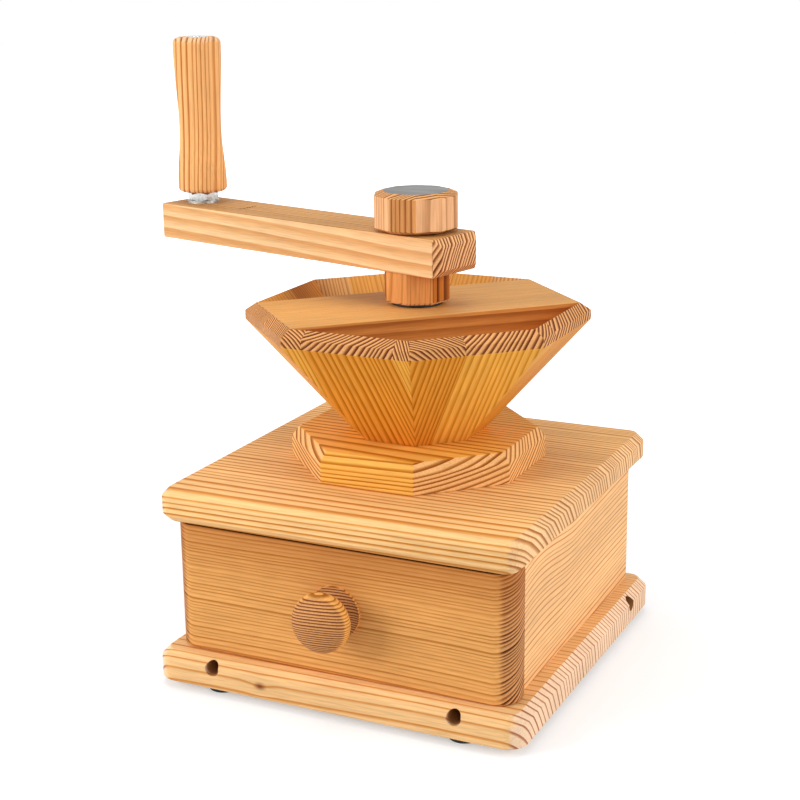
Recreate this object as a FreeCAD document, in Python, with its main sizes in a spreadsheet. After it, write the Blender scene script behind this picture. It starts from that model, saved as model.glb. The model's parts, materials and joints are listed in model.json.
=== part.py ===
import FreeCAD, Part
import itertools
import os
import re
import Sketcher

# Hand grain mill: a wooden case with a flour drawer, an eight-sided hopper, two grinding stones
# on an upright axis and a crank. Millimetres. The origin is on the table under the middle of
# the plates, X runs right along the drawer front, Y to the back, Z up.

Vec = FreeCAD.Vector
doc = FreeCAD.newDocument("HandGrainMill")
sheet = doc.addObject("Spreadsheet::Sheet", "Sizes")
nodes = []
NEAR = 0.01

fits_sizes = {
    "fit_gap": 0.05,
    "running_gap": 0.1,
    "drawer_gap": 0.3,
    "cut_past": 10,
}
feet_sizes = {
    "foot_radius": 9,
    "foot_height": 4.5,
    "foot_bevel": 0.6,
    "feet_side_inset": 38,
    "feet_front_inset": 14,
    "feet_half_width": "=base_side / 2 - feet_side_inset",
    "feet_half_depth": "=base_side / 2 - feet_front_inset",
    "feet_screw_radius": 1.75,
    "feet_screw_head": 3.8,
    "feet_screw_length": 10.5,
    "feet_screw_sink": 0.7,
}
base_plate_sizes = {
    "base_side": 227,
    "base_thickness": 18,
    "base_corner": 12,
    "base_chamfer": 5,
    "base_round": 1,
    "base_bottom": "=foot_height",
    "base_top": "=base_bottom + base_thickness",
    "clamp_radius": 4.25,
    "clamp_depth": 30,
    "clamp_below_top": 5.7,
    "clamp_corner_inset": 38.5,
    "clamp_back_inset": 39.5,
    "clamp_front_half": "=base_side / 2 - clamp_corner_inset",
    "clamp_side_back": "=base_side / 2 - clamp_back_inset",
}
case_sizes = {
    "case_width": 202,
    "case_depth": 185.3,
    "case_back": 101,
    "case_height": 77.5,
    "panel_thickness": 20,
    "case_front": "=case_back - case_depth",
    "case_top": "=base_top + case_height",
    "panel_centre": "=case_width / 2 - panel_thickness / 2",
    "cavity_half": "=case_width / 2 - panel_thickness",
    "cavity_back": "=case_back - panel_thickness",
}
case_screws_and_dowels_sizes = {
    "screw_radius": 2.25,
    "screw_head": 4.2,
    "screw_length": 45,
    "fixing_front_inset": 24.3,
    "fixing_back_inset": 61,
    "fixing_front": "=case_front + fixing_front_inset",
    "fixing_back": "=case_back - fixing_back_inset",
    "fixing_half": 45,
    "dowel_radius": 4,
    "dowel_length": 30,
    "dowel_in_plate": 13,
    "dowel_low": 22.5,
    "dowel_high": 57.5,
}
top_plate_sizes = {
    "plate_side": 220,
    "plate_thickness": 19,
    "plate_corner": 11,
    "plate_chamfer": 4.5,
    "plate_top": "=case_top + plate_thickness",
    "axis_back": 7,
    "chute_gap": 9,
    "chute_radius": "=stone_radius + chute_gap",
}
hopper_foot_sizes = {
    "seat_apothem": 69.7,
    "seat_thickness": 18,
    "seat_chamfer_out": 4.3,
    "seat_chamfer_down": 5.7,
    "seat_web": 6,
    "seat_top": "=plate_top + seat_thickness",
    "seat_screw_inset": 9,
    "seat_screw_circle": "=seat_apothem - seat_screw_inset",
    "seat_screw_radius": 2,
    "seat_screw_head": 3.9,
    "seat_screw_length": 30,
    "seat_screw_count": 4,
    "seat_screw_turn": 22.5,
    "funnel_radius": 23,
    "funnel_depth": 5,
}
hopper_sizes = {
    "hopper_sides": 8,
    "mitre_angle": "=180 / hopper_sides",
    "hopper_height": 75,
    "hopper_top": "=seat_top + hopper_height",
    "wall_run": 63.8,
    "wall_slope": "=wall_run / hopper_height",
    "wall_foot": 14.3,
    "rim_inside": 87,
    "rim_out": 6.1,
    "rim_drop": 4.3,
    "throat_inside": "=rim_inside - wall_run",
    "rim_outside": "=rim_inside + rim_out",
    "stave_blank_half": "=rim_outside * tan(mitre_angle) + cut_past",
}
bridge_and_bush_sizes = {
    "bridge_thickness": 20,
    "bridge_half": "=rim_inside * tan(mitre_angle)",
    "bush_wall": 3,
    "bush_radius": "=spindle_radius + bush_wall",
    "flange_reach": 6.2,
    "flange_radius": "=bush_radius + flange_reach",
    "flange_thickness": 1.8,
    "flange_top": "=hopper_top + flange_thickness",
}
stones_sizes = {
    "stone_radius": 45,
    "stone_thickness": 24,
    "eye_radius": 18,
    "stone_gap": 0.6,
    "swallow_radius": 34,
    "swallow_depth": 8,
    "dish_radius": 12,
    "dish_depth": 4,
    "furrow_width": 3,
    "furrow_depth": 1.2,
    "furrow_start": 27,
    "furrow_offset": 9,
    "furrow_count": 12,
    "stone_bolt_count": 3,
    "stone_bolt_turn": 90,
    "stone_bolt_circle": 30,
    "stone_bolt_radius": 2.5,
    "stone_bolt_head": 4.8,
    "stone_bolt_length": 16,
    "runner_bolt_turn": 30,
    "runner_bolt_circle": 20,
    "runner_bolt_length": 14,
    "fixed_bottom": "=seat_top - seat_web - stone_thickness",
    "runner_bottom": "=fixed_bottom - stone_gap - stone_thickness",
}
spindle_and_carrier_sizes = {
    "spindle_radius": 6,
    "spindle_flat": 4.5,
    "thread_radius": 5,
    "thread_bevel": 1,
    "carrier_radius": 28,
    "carrier_thickness": 4,
    "nut_across": 17,
    "nut_height": 8,
    "nut_bevel": 1.1,
    "thread_past_nut": 1,
    "flats_below_plate": 3.3,
    "flats_above_plate": 5.7,
    "carrier_bottom": "=runner_bottom - carrier_thickness",
    "nut_bottom": "=carrier_bottom - nut_height",
    "spindle_bottom": "=nut_bottom - thread_past_nut",
}
crank_sizes = {
    "arm_angle": 165,
    "arm_width": 39,
    "arm_thickness": 22,
    "arm_near_end": 31.5,
    "arm_past_grip": 21.5,
    "arm_far_end": "=crank_radius + arm_past_grip",
    "arm_chamfer": 4,
    "crank_radius": 178,
    "slot_before_grip": 40.5,
    "slot_place": "=crank_radius - slot_before_grip",
    "slot_length": 13.6,
    "slot_width": 1,
    "slot_depth": 4,
    "collar_across": 36.5,
    "collar_height": 18.4,
    "collar_chamfer": 1.2,
    "collar_bottom": "=flange_top + running_gap",
    "arm_bottom": "=collar_bottom + collar_height",
    "arm_top": "=arm_bottom + arm_thickness",
    "spindle_play": 0.4,
    "drive_radius": 14,
    "drive_thickness": 3,
    "drive_screw_circle": 10.3,
    "drive_screw_radius": 1.5,
    "drive_screw_head": 2.8,
    "drive_screw_length": 12,
}
grip_and_its_bolt_sizes = {
    "insert_radius": 7,
    "insert_length": 18,
    "washer_radius": 10,
    "washer_thickness": 1.6,
    "lock_nut_height": 5,
    "lock_nut_turn": 17,
    "bolt_in_insert": 16,
    "shoulder_radius": 6.5,
    "shoulder_height": 0.6,
    "shank_radius": 4.5,
    "tip_radius": 2.4,
    "tip_stand": 0.7,
    "tip_bevel": 1,
    "tip_bevel_radius": "=tip_radius - tip_bevel",
    "tip_bevel_stand": 0.3,
    "cap_radius": 7,
    "cap_thickness": 1.2,
    "grip_length": 96.2,
    "grip_top_radius": 15,
    "grip_waist_radius": 13.5,
    "grip_waist_place": 29.7,
    "grip_flare_radius": 15.4,
    "grip_flare_place": 3.4,
    "grip_end_radius": 13,
    "grip_top_round": 4.5,
    "nut_base": "=arm_top + washer_thickness",
    "shoulder_base": "=nut_base + lock_nut_height",
    "grip_bottom": "=shoulder_base + shoulder_height + running_gap",
    "grip_top": "=grip_bottom + grip_length",
}
adjusting_knob_sizes = {
    "knob_sides": 10,
    "knob_half_angle": "=180 / knob_sides",
    "knob_radius": 25.1,
    "knob_flat": "=knob_radius * cos(knob_half_angle)",
    "knob_height": 22.5,
    "knob_turned": 6,
    "knob_top_in": 5,
    "knob_top_down": 2.1,
    "knob_low_in": 4,
    "knob_low_up": 1.9,
    "knob_washer_radius": 10.5,
    "knob_washer_thickness": 0.7,
    "knob_bottom": "=arm_top + knob_washer_thickness + running_gap",
    "knob_insert_radius": 8,
    "knob_insert_length": 18,
    "spindle_into_knob": 15.9,
    "spindle_headroom": 3,
    "disc_radius": 18.7,
    "disc_thickness": 1.5,
}
drawer_sizes = {
    "drawer_width": 208.5,
    "front_thickness": 18,
    "front_corner": 12.5,
    "front_bevel": 0.8,
    "front_top_gap": 2,
    "front_back_gap": 0.2,
    "drawer_side_gap": 1,
    "drawer_board": 10,
    "drawer_wall_height": 39.2,
    "drawer_back_gap": 3,
    "drawer_floor_up": 4.2,
    "drawer_floor_thickness": 4,
    "drawer_groove": 3.5,
    "drawer_dowel_low": 13.7,
    "drawer_dowel_high": 29.4,
    "drawer_dowel_radius": 3,
    "drawer_dowel_length": 24,
    "drawer_dowel_in_front": 10,
    "front_back": "=case_front - front_back_gap",
    "front_face": "=front_back - front_thickness",
    "drawer_bottom_level": "=base_top + drawer_gap",
    "front_height": "=case_height - drawer_gap - front_top_gap",
    "drawer_half": "=cavity_half - drawer_side_gap",
    "drawer_back_face": "=cavity_back - drawer_back_gap",
}
drawer_knob_sizes = {
    "ball_radius": 17,
    "ball_half_length": 10.9,
    "ball_rim_radius": 8,
    "ball_centre": 16.8,
    "neck_radius": 7,
    "flange_foot_radius": 15,
    "flange_edge": 1.4,
    "flange_slope_end": 5,
    "flange_hollow": 0.8,
    "knob_screw_length": 33,
    "knob_level": 38.5,
}
all_sizes = [
    fits_sizes,
    feet_sizes,
    base_plate_sizes,
    case_sizes,
    case_screws_and_dowels_sizes,
    top_plate_sizes,
    hopper_foot_sizes,
    hopper_sizes,
    bridge_and_bush_sizes,
    stones_sizes,
    spindle_and_carrier_sizes,
    crank_sizes,
    grip_and_its_bolt_sizes,
    adjusting_knob_sizes,
    drawer_sizes,
    drawer_knob_sizes,
]
for row, (name, size) in enumerate(itertools.chain(*[group.items() for group in all_sizes]), 1):
    sheet.set("A%d" % row, name.replace("_", " "))
    sheet.set("B%d" % row, str(size))
    sheet.setAlias("B%d" % row, name)
doc.recompute()


def value(text):
    """The number that an expression over the sizes gives."""
    return float(sheet.evalExpression(text))


def linked(text):
    """The expression with each size's name pointed at the sheet."""
    return re.sub(r"[a-z]+(?:_[a-z]+)+", lambda name: "Sizes." + name.group(), text)


def bind(thing, links):
    """Ties properties of a thing to expressions over the sizes."""
    for name, text in links.items():
        thing.setExpression(name, linked(text))
    return thing


def place(thing, x="0", y="0", z="0", turn="0"):
    """Puts a thing at a place, turned about the upright axis by a number of degrees."""
    return bind(
        thing,
        {
            "Placement.Base.x": x,
            "Placement.Base.y": y,
            "Placement.Base.z": z,
            "Placement.Rotation.Angle": turn,
        },
    )


def keep(name, thing):
    """Makes a thing one of the sub-parts, under its own name."""
    thing.Label = name
    nodes.append(thing)
    return thing


def block(name, x, y, z):
    """A box between a low and a high place on each axis."""
    box = doc.addObject("Part::Box", name)
    for size, axis, (low, high) in (("Length", "x", x), ("Width", "y", y), ("Height", "z", z)):
        bind(box, {size: "(%s) - (%s)" % (high, low), "Placement.Base." + axis: low})
    return box


def rod(name, radius, length, x="0", y="0", z="0", along=(0, 0, 1)):
    """A cylinder that starts at a place and runs along a direction."""
    cylinder = doc.addObject("Part::Cylinder", name)
    cylinder.Placement.Rotation = FreeCAD.Rotation(Vec(0, 0, 1), Vec(*along))
    links = {"Radius": radius, "Height": length}
    links.update({"Placement.Base.x": x, "Placement.Base.y": y, "Placement.Base.z": z})
    return bind(cylinder, links)


def joined(name, members):
    """Several shapes fused into one."""
    fuse = doc.addObject("Part::MultiFuse", name)
    fuse.Shapes = members
    return fuse


def group(name, members):
    """Several separate solids of one kind, kept as one sub-part."""
    compound = doc.addObject("Part::Compound", name)
    compound.Links = members
    return compound


def without(name, base, tools):
    """A shape with others cut out of it."""
    cut = doc.addObject("Part::Cut", name)
    cut.Base = base
    cut.Tool = tools[0] if len(tools) == 1 else joined(name + "_openings", tools)
    return cut


def shared(name, first, second):
    """What two shapes have in common."""
    common = doc.addObject("Part::Common", name)
    common.Base = first
    common.Tool = second
    return common


def faceted(name, sides, rings):
    """A solid with flat facets through rings of apothem and height, a flat facing X."""
    polygons = []
    half_turn = "180 / " + sides
    for number, (apothem, height) in enumerate(rings):
        ring = doc.addObject("Part::RegularPolygon", "%s_ring_%d" % (name, number))
        ring.Polygon = int(value(sides))
        bind(ring, {"Circumradius": "(%s) / cos(%s)" % (apothem, half_turn)})
        polygons.append(place(ring, z=height, turn=half_turn))
    loft = doc.addObject("Part::Loft", name)
    loft.Sections = polygons
    loft.Solid = True
    loft.Ruled = True
    return loft


def screw(name, radius, head, length, at, along=(0, 0, 1), grow="0"):
    """A countersunk screw from its head's face; grow widens it into the hole it sits in."""
    shank_radius = "%s + %s" % (radius, grow)
    head_radius = "%s + %s" % (head, grow)
    turn = FreeCAD.Rotation(Vec(0, 0, 1), Vec(*along))
    shank = doc.addObject("Part::Cylinder", name + "_shank")
    bind(shank, {"Radius": shank_radius, "Height": "%s + %s" % (length, grow)})
    cone = doc.addObject("Part::Cone", name + "_head")
    bind(cone, {"Radius1": head_radius, "Radius2": shank_radius, "Height": "%s - %s" % (head, radius)})
    whole = joined(name, [shank, cone])
    whole.Placement.Rotation = turn
    x, y, z = at
    return bind(whole, {"Placement.Base.x": x, "Placement.Base.y": y, "Placement.Base.z": z})


def new_body(name):
    """A body for sketches and features."""
    return doc.addObject("PartDesign::Body", name)


def origin_feature(body, role):
    """A plane or axis of the body's own origin."""
    return [item for item in body.Origin.OriginFeatures if item.Role == role][0]


def outline(body, name, plane, loops, offset="0"):
    """A sketch of closed straight-sided loops, every corner tied to the sizes."""
    sketch = body.newObject("Sketcher::SketchObject", name)
    sketch.AttachmentSupport = [(origin_feature(body, plane), "")]
    sketch.MapMode = "FlatFace"
    bind(sketch, {"AttachmentOffset.Base.z": offset})
    for loop in loops:
        corners = [(value(across), value(up)) for across, up in loop]
        first = sketch.GeometryCount
        count = len(loop)
        for number, (across, up) in enumerate(corners):
            following = corners[(number + 1) % count]
            sketch.addGeometry(Part.LineSegment(Vec(across, up, 0), Vec(*following, 0)))
        for number in range(count):
            side = first + number
            neighbour = first + (number + 1) % count
            sketch.addConstraint(Sketcher.Constraint("Coincident", side, 2, neighbour, 1))
        for number in range(count):
            for way, kind in enumerate(("DistanceX", "DistanceY")):
                held = Sketcher.Constraint(kind, first + number, 1, corners[number][way])
                index = sketch.addConstraint(held)
                sketch.setExpression("Constraints[%d]" % index, linked(loop[number][way]))
    return sketch


def pad(body, name, sketch, length, midplane=False):
    """A pad of a sketch, one way or to both sides."""
    feature = body.newObject("PartDesign::Pad", name)
    feature.Profile = sketch
    if midplane:
        feature.SideType = "Symmetric"
    bind(feature, {"Length": length})
    doc.recompute()
    return feature


def pocket(body, name, sketch, length, towards_normal):
    """A pocket cut from a sketch along its normal or against it."""
    before = body.Tip.Shape.Volume
    feature = body.newObject("PartDesign::Pocket", name)
    feature.Profile = sketch
    feature.Reversed = towards_normal
    bind(feature, {"Length": length})
    doc.recompute()
    if feature.Shape.Volume >= before:
        raise RuntimeError(name + " cuts nothing")
    return feature


def revolved(name, points):
    """A body turned about the upright axis from corners given as radius and height."""
    body = new_body(name)
    sketch = outline(body, name + "_profile", "XZ_Plane", [points])
    feature = body.newObject("PartDesign::Revolution", name + "_turned")
    feature.Profile = sketch
    feature.ReferenceAxis = (sketch, ["V_Axis"])
    feature.Angle = 360
    doc.recompute()
    return body


def edge_names(feature, wanted):
    """The names of a feature's edges that a test picks."""
    return ["Edge%d" % number for number, edge in enumerate(feature.Shape.Edges, 1) if wanted(edge)]


def upright(edge):
    """Whether an edge runs straight up."""
    box = edge.BoundBox
    return box.XLength < NEAR and box.YLength < NEAR


def level_at(height):
    """A test for edges that lie at a height."""
    return lambda edge: abs(edge.BoundBox.ZMin - height) < NEAR and abs(edge.BoundBox.ZMax - height) < NEAR


def dress(body, kind, name, wanted, size):
    """A fillet or chamfer on the edges that a test picks."""
    base = body.Tip
    feature = body.newObject("PartDesign::" + kind, name)
    feature.Base = (base, edge_names(base, wanted))
    bind(feature, {"Radius" if kind == "Fillet" else "Size": size})
    doc.recompute()
    return feature


def square_board(name, side, thickness, corner):
    """A square board with rounded corners, its middle at the origin."""
    body = new_body(name)
    low = "-%s / 2" % side
    high = "%s / 2" % side
    plan = outline(body, name + "_plan", "XY_Plane", [[(low, low), (high, low), (high, high), (low, high)]])
    pad(body, name + "_pad", plan, thickness)
    dress(body, "Fillet", name + "_corners", upright, corner)
    return body


def ring_places(count, circle, turn):
    """Places evenly round the mill axis from a first angle, as expressions."""
    angles = ["%s + 360 * %d / %s" % (turn, number, count) for number in range(int(value(count)))]
    return [("%s * cos(%s)" % (circle, angle), "%s * sin(%s)" % (circle, angle)) for angle in angles]


def hex_nut(name, height):
    """A hexagon nut with bevelled corners on a threaded shaft."""
    corner = "nut_across / 2 / cos(30)"
    flat = "nut_across / 2"
    bore = "thread_radius + fit_gap"
    prism = bind(doc.addObject("Part::Prism", name + "_prism"), {"Circumradius": corner, "Height": height})
    prism.Polygon = 6
    points = [(bore, "0"), (flat, "0"), (corner, "nut_bevel"), (corner, "%s - nut_bevel" % height)]
    points += [(flat, height), (bore, height)]
    return shared(name, prism, revolved(name + "_turning", points))


def washer(name, radius, bore, thickness):
    """A flat ring."""
    disc = rod(name + "_disc", radius, thickness)
    return without(name, disc, [rod(name + "_bore", bore, thickness)])


FRONT_AND_BACK = ("fixing_front", "fixing_back")
LEFT_AND_RIGHT = (("left", "-"), ("right", ""))


def panel_places():
    """Where the case's upright fixings stand: two in each side panel, two in the back panel."""
    sides = [(sign + "panel_centre", depth) for label, sign in LEFT_AND_RIGHT for depth in FRONT_AND_BACK]
    back = [(sign + "fixing_half", "case_back - panel_thickness / 2") for label, sign in LEFT_AND_RIGHT]
    return sides + back


def foot_places():
    """Where the four feet stand."""
    return [(x + "feet_half_width", y + "feet_half_depth") for x in ("-", "") for y in ("-", "")]


def seat_screw_places():
    """Where the screws of the hopper foot stand round the mill axis."""
    return ring_places("seat_screw_count", "seat_screw_circle", "seat_screw_turn")


def stone_bolt_places():
    """Where the fixed stone's bolts stand round the mill axis."""
    return ring_places("stone_bolt_count", "stone_bolt_circle", "stone_bolt_turn")


def make_feet():
    """Black rubber discs, each held by one screw up through its middle."""
    feet = []
    screws = []
    for number, (x, y) in enumerate(foot_places(), 1):
        name = "foot_%d" % number
        points = [("0", "0"), ("foot_radius - foot_bevel", "0"), ("foot_radius", "foot_bevel")]
        points += [("foot_radius", "foot_height"), ("0", "foot_height")]
        disc = place(revolved(name + "_disc", points), x, y)
        seat = (x, y, "feet_screw_sink")
        sizes = ("feet_screw_radius", "feet_screw_head", "feet_screw_length")
        hole = screw(name + "_hole", *sizes, seat, grow="fit_gap")
        mouth = rod(name + "_mouth", "feet_screw_head + fit_gap", "feet_screw_sink", x, y)
        feet.append(without(name, disc, [hole, mouth]))
        screws.append(screw(name + "_screw", *sizes, seat))
    keep("rubber_feet", group("rubber_feet", feet))
    keep("feet_screws", group("feet_screws", screws))


def make_base_plate():
    """Square board with a bevelled top edge, blind clamp holes and the fixings' holes."""
    board = square_board("base_board", "base_side", "base_thickness", "base_corner")
    dress(board, "Chamfer", "base_bevel", level_at(value("base_thickness")), "base_chamfer")
    dress(board, "Fillet", "base_lower_edge", level_at(0), "base_round")
    place(board, z="base_bottom")
    half = "base_side / 2"
    level = "base_top - clamp_below_top"
    holes = []
    for label, sign in LEFT_AND_RIGHT:
        front = (sign + "clamp_front_half", "-" + half, level)
        holes.append(rod("clamp_front_" + label, "clamp_radius", "clamp_depth", *front, (0, 1, 0)))
        inward = (1, 0, 0) if label == "left" else (-1, 0, 0)
        side = ("%s%s" % (sign, half), "clamp_side_back", level)
        holes.append(rod("clamp_side_" + label, "clamp_radius", "clamp_depth", *side, inward))
    sizes = ("screw_radius", "screw_head", "screw_length")
    for number, (x, y) in enumerate(panel_places(), 1):
        holes.append(screw("base_hole_%d" % number, *sizes, (x, y, "base_bottom"), grow="fit_gap"))
    sizes = ("feet_screw_radius", "feet_screw_head", "feet_screw_length")
    for number, (x, y) in enumerate(foot_places(), 1):
        seat = (x, y, "feet_screw_sink")
        holes.append(screw("foot_pilot_%d" % number, *sizes, seat, grow="fit_gap"))
    keep("base_plate", without("base_plate", board, holes))


def make_case():
    """Two side panels and the back between them, with screws from below and dowels."""
    level = ("base_top", "case_top")
    sizes = ("screw_radius", "screw_head", "screw_length")
    places = panel_places()
    screws = [screw("base_screw_%d" % number, *sizes, (x, y, "base_bottom"))
              for number, (x, y) in enumerate(places, 1)]
    dowel_start = "case_top + dowel_in_plate - dowel_length"
    dowels = [rod("top_dowel_%d" % number, "dowel_radius", "dowel_length", x, y, dowel_start)
              for number, (x, y) in enumerate(places, 1)]

    def upright_holes(name, numbers):
        """The screw and dowel holes of the places with these numbers."""
        holes = []
        for number in numbers:
            x, y = places[number]
            label = "%s_%d" % (name, number)
            holes.append(screw(label + "_screw", *sizes, (x, y, "base_bottom"), grow="fit_gap"))
            radius = "dowel_radius + fit_gap"
            holes.append(rod(label + "_dowel", radius, "dowel_length", x, y, dowel_start))
        return holes

    cross_dowels = []
    back_middle = "case_back - panel_thickness / 2"
    cross_start = "cavity_half - dowel_length / 2"
    side_holes = {"left": [], "right": []}
    back_holes = []
    for label, sign in LEFT_AND_RIGHT:
        along = (-1, 0, 0) if sign else (1, 0, 0)
        for height in ("dowel_low", "dowel_high"):
            name = "back_dowel_%s_%s" % (label, height)
            start = ("%s(%s)" % (sign, cross_start), back_middle, "base_top + " + height)
            cross_dowels.append(rod(name, "dowel_radius", "dowel_length", *start, along))
            for holes, owner in ((side_holes[label], "_side"), (back_holes, "_back")):
                radius = "dowel_radius + fit_gap"
                holes.append(rod(name + owner, radius, "dowel_length", *start, along))

    outer = "case_width / 2"
    spans = {"left": ("-" + outer, "-cavity_half"), "right": ("cavity_half", outer)}
    for number, (label, sign) in enumerate(LEFT_AND_RIGHT):
        name = label + "_side_panel"
        board = block(name + "_board", spans[label], ("case_front", "case_back"), level)
        holes = upright_holes(name, (2 * number, 2 * number + 1)) + side_holes[label]
        keep(name, without(name, board, holes))
    board = block("back_board", ("-cavity_half", "cavity_half"), ("cavity_back", "case_back"), level)
    keep("back_panel", without("back_panel", board, upright_holes("back_panel", (4, 5)) + back_holes))
    keep("base_screws", group("base_screws", screws))
    keep("top_dowels", group("top_dowels", dowels))
    keep("back_dowels", group("back_dowels", cross_dowels))


def make_top_plate():
    """Square board bevelled above and below, with the bore that the runner stone turns in."""
    board = square_board("top_board", "plate_side", "plate_thickness", "plate_corner")
    dress(board, "Chamfer", "top_bevel", level_at(value("plate_thickness")), "plate_chamfer")
    dress(board, "Chamfer", "top_lower_bevel", level_at(0), "plate_chamfer")
    place(board, z="case_top")
    holes = [rod("chute", "chute_radius", "plate_thickness", "0", "axis_back", "case_top")]
    for number, (x, y) in enumerate(panel_places(), 1):
        radius = "dowel_radius + fit_gap"
        holes.append(rod("top_dowel_hole_%d" % number, radius, "dowel_in_plate", x, y, "case_top"))
    sizes = ("seat_screw_radius", "seat_screw_head", "seat_screw_length")
    for number, (x, y) in enumerate(seat_screw_places(), 1):
        seat = (x, "axis_back + " + y, "case_top")
        holes.append(screw("seat_hole_%d" % number, *sizes, seat, grow="fit_gap"))
    keep("top_plate", without("top_plate", board, holes))


def make_hopper_foot():
    """Eight-sided board, hollow below for the fixed stone, with a funnel and its screws."""
    rings = [("seat_apothem", "0"), ("seat_apothem", "seat_thickness - seat_chamfer_down")]
    rings.append(("seat_apothem - seat_chamfer_out", "seat_thickness"))
    board = faceted("seat_board", "hopper_sides", rings)
    recess = rod("stone_recess", "stone_radius + running_gap", "seat_thickness - seat_web")
    eye = rod("seat_eye", "eye_radius", "seat_thickness")
    funnel = doc.addObject("Part::Cone", "seat_funnel")
    bind(funnel, {"Radius1": "eye_radius", "Radius2": "funnel_radius", "Height": "funnel_depth"})
    place(funnel, z="seat_thickness - funnel_depth")
    holes = [recess, eye, funnel]
    sizes = ("stone_bolt_radius", "stone_bolt_head", "stone_bolt_length")
    for number, (x, y) in enumerate(stone_bolt_places(), 1):
        seat = (x, y, "seat_thickness")
        holes.append(screw("stone_bolt_hole_%d" % number, *sizes, seat, (0, 0, -1), "fit_gap"))
    sizes = ("seat_screw_radius", "seat_screw_head", "seat_screw_length")
    screws = []
    for number, (x, y) in enumerate(seat_screw_places(), 1):
        hole_seat = (x, y, "-plate_thickness")
        holes.append(screw("seat_pilot_%d" % number, *sizes, hole_seat, grow="fit_gap"))
        screws.append(screw("seat_screw_%d" % number, *sizes, (x, "axis_back + " + y, "case_top")))
    foot = keep("hopper_foot", without("hopper_foot", board, holes))
    place(foot, "0", "axis_back", "plate_top")
    keep("foot_board_screws", group("foot_board_screws", screws))


def make_staves():
    """Eight mitred boards of the funnel, with a two-faceted rim."""
    outer_foot = "throat_inside + wall_foot"
    rim_low = "(rim_outside - throat_inside - wall_foot) / wall_slope"
    profile = [("throat_inside", "0"), (outer_foot, "0"), ("rim_outside", rim_low)]
    profile += [("rim_outside", "hopper_height - rim_drop"), ("rim_inside", "hopper_height")]
    start = "throat_inside - cut_past"
    end = "rim_outside + cut_past"
    waste = "(stave_blank_half + cut_past)"
    mitres = []
    for sign in ("", "-"):
        near = (start, "%s(%s) * tan(mitre_angle)" % (sign, start))
        far = (end, "%s(%s) * tan(mitre_angle)" % (sign, end))
        mitres.append([near, far, (end, sign + waste), (start, sign + waste)])
    for number in range(int(value("hopper_sides"))):
        name = "hopper_stave_%d" % (number + 1)
        body = new_body(name)
        section = outline(body, name + "_profile", "XZ_Plane", [profile])
        pad(body, name + "_board", section, "2 * stave_blank_half", midplane=True)
        sketch = outline(body, name + "_mitres", "XY_Plane", mitres)
        pocket(body, name + "_mitred", sketch, "hopper_height", towards_normal=True)
        place(body, "0", "axis_back", "seat_top", "2 * mitre_angle * %d" % number)
        keep(name, body)


def make_bridge():
    """Board across the hopper, its ends cut to the funnel, with the crank's bush."""
    low_inside = "rim_inside - bridge_thickness * wall_slope"
    reach = faceted("bridge_reach", "hopper_sides", [(low_inside, "0"), ("rim_inside", "bridge_thickness")])
    half = "bridge_half"
    level = ("0", "bridge_thickness")
    length = ("-(rim_inside + cut_past)", "rim_inside + cut_past")
    plank = block("bridge_plank", length, ("-" + half, half), level)
    board = shared("bridge_shape", plank, reach)
    bore = rod("bridge_bore", "bush_radius + fit_gap", "bridge_thickness")
    bridge = keep("bridge_board", without("bridge_board", board, [bore]))
    place(bridge, "0", "axis_back", "hopper_top - bridge_thickness", "2 * mitre_angle")
    bore_radius = "spindle_radius + fit_gap"
    top = "bridge_thickness + flange_thickness"
    points = [(bore_radius, "0"), ("bush_radius", "0"), ("bush_radius", "bridge_thickness")]
    points += [("flange_radius", "bridge_thickness"), ("flange_radius", top), (bore_radius, top)]
    bush = keep("bridge_bush", revolved("bridge_bush", points))
    place(bush, "0", "axis_back", "hopper_top - bridge_thickness")


def furrows(body, name, level, upward):
    """Slanting furrows in a stone's grinding face."""
    far = "stone_radius + cut_past"
    side = "furrow_offset + furrow_width"
    loop = [("furrow_start", "furrow_offset"), (far, "furrow_offset"), (far, side), ("furrow_start", side)]
    sketch = outline(body, name + "_furrow", "XY_Plane", [loop], level)
    first = pocket(body, name + "_first_furrow", sketch, "furrow_depth", towards_normal=upward)
    pattern = body.newObject("PartDesign::PolarPattern", name + "_furrows")
    pattern.Originals = [first]
    pattern.Axis = (sketch, ["N_Axis"])
    pattern.Angle = 360
    bind(pattern, {"Occurrences": "furrow_count"})
    body.Tip = pattern
    doc.recompute()


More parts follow.
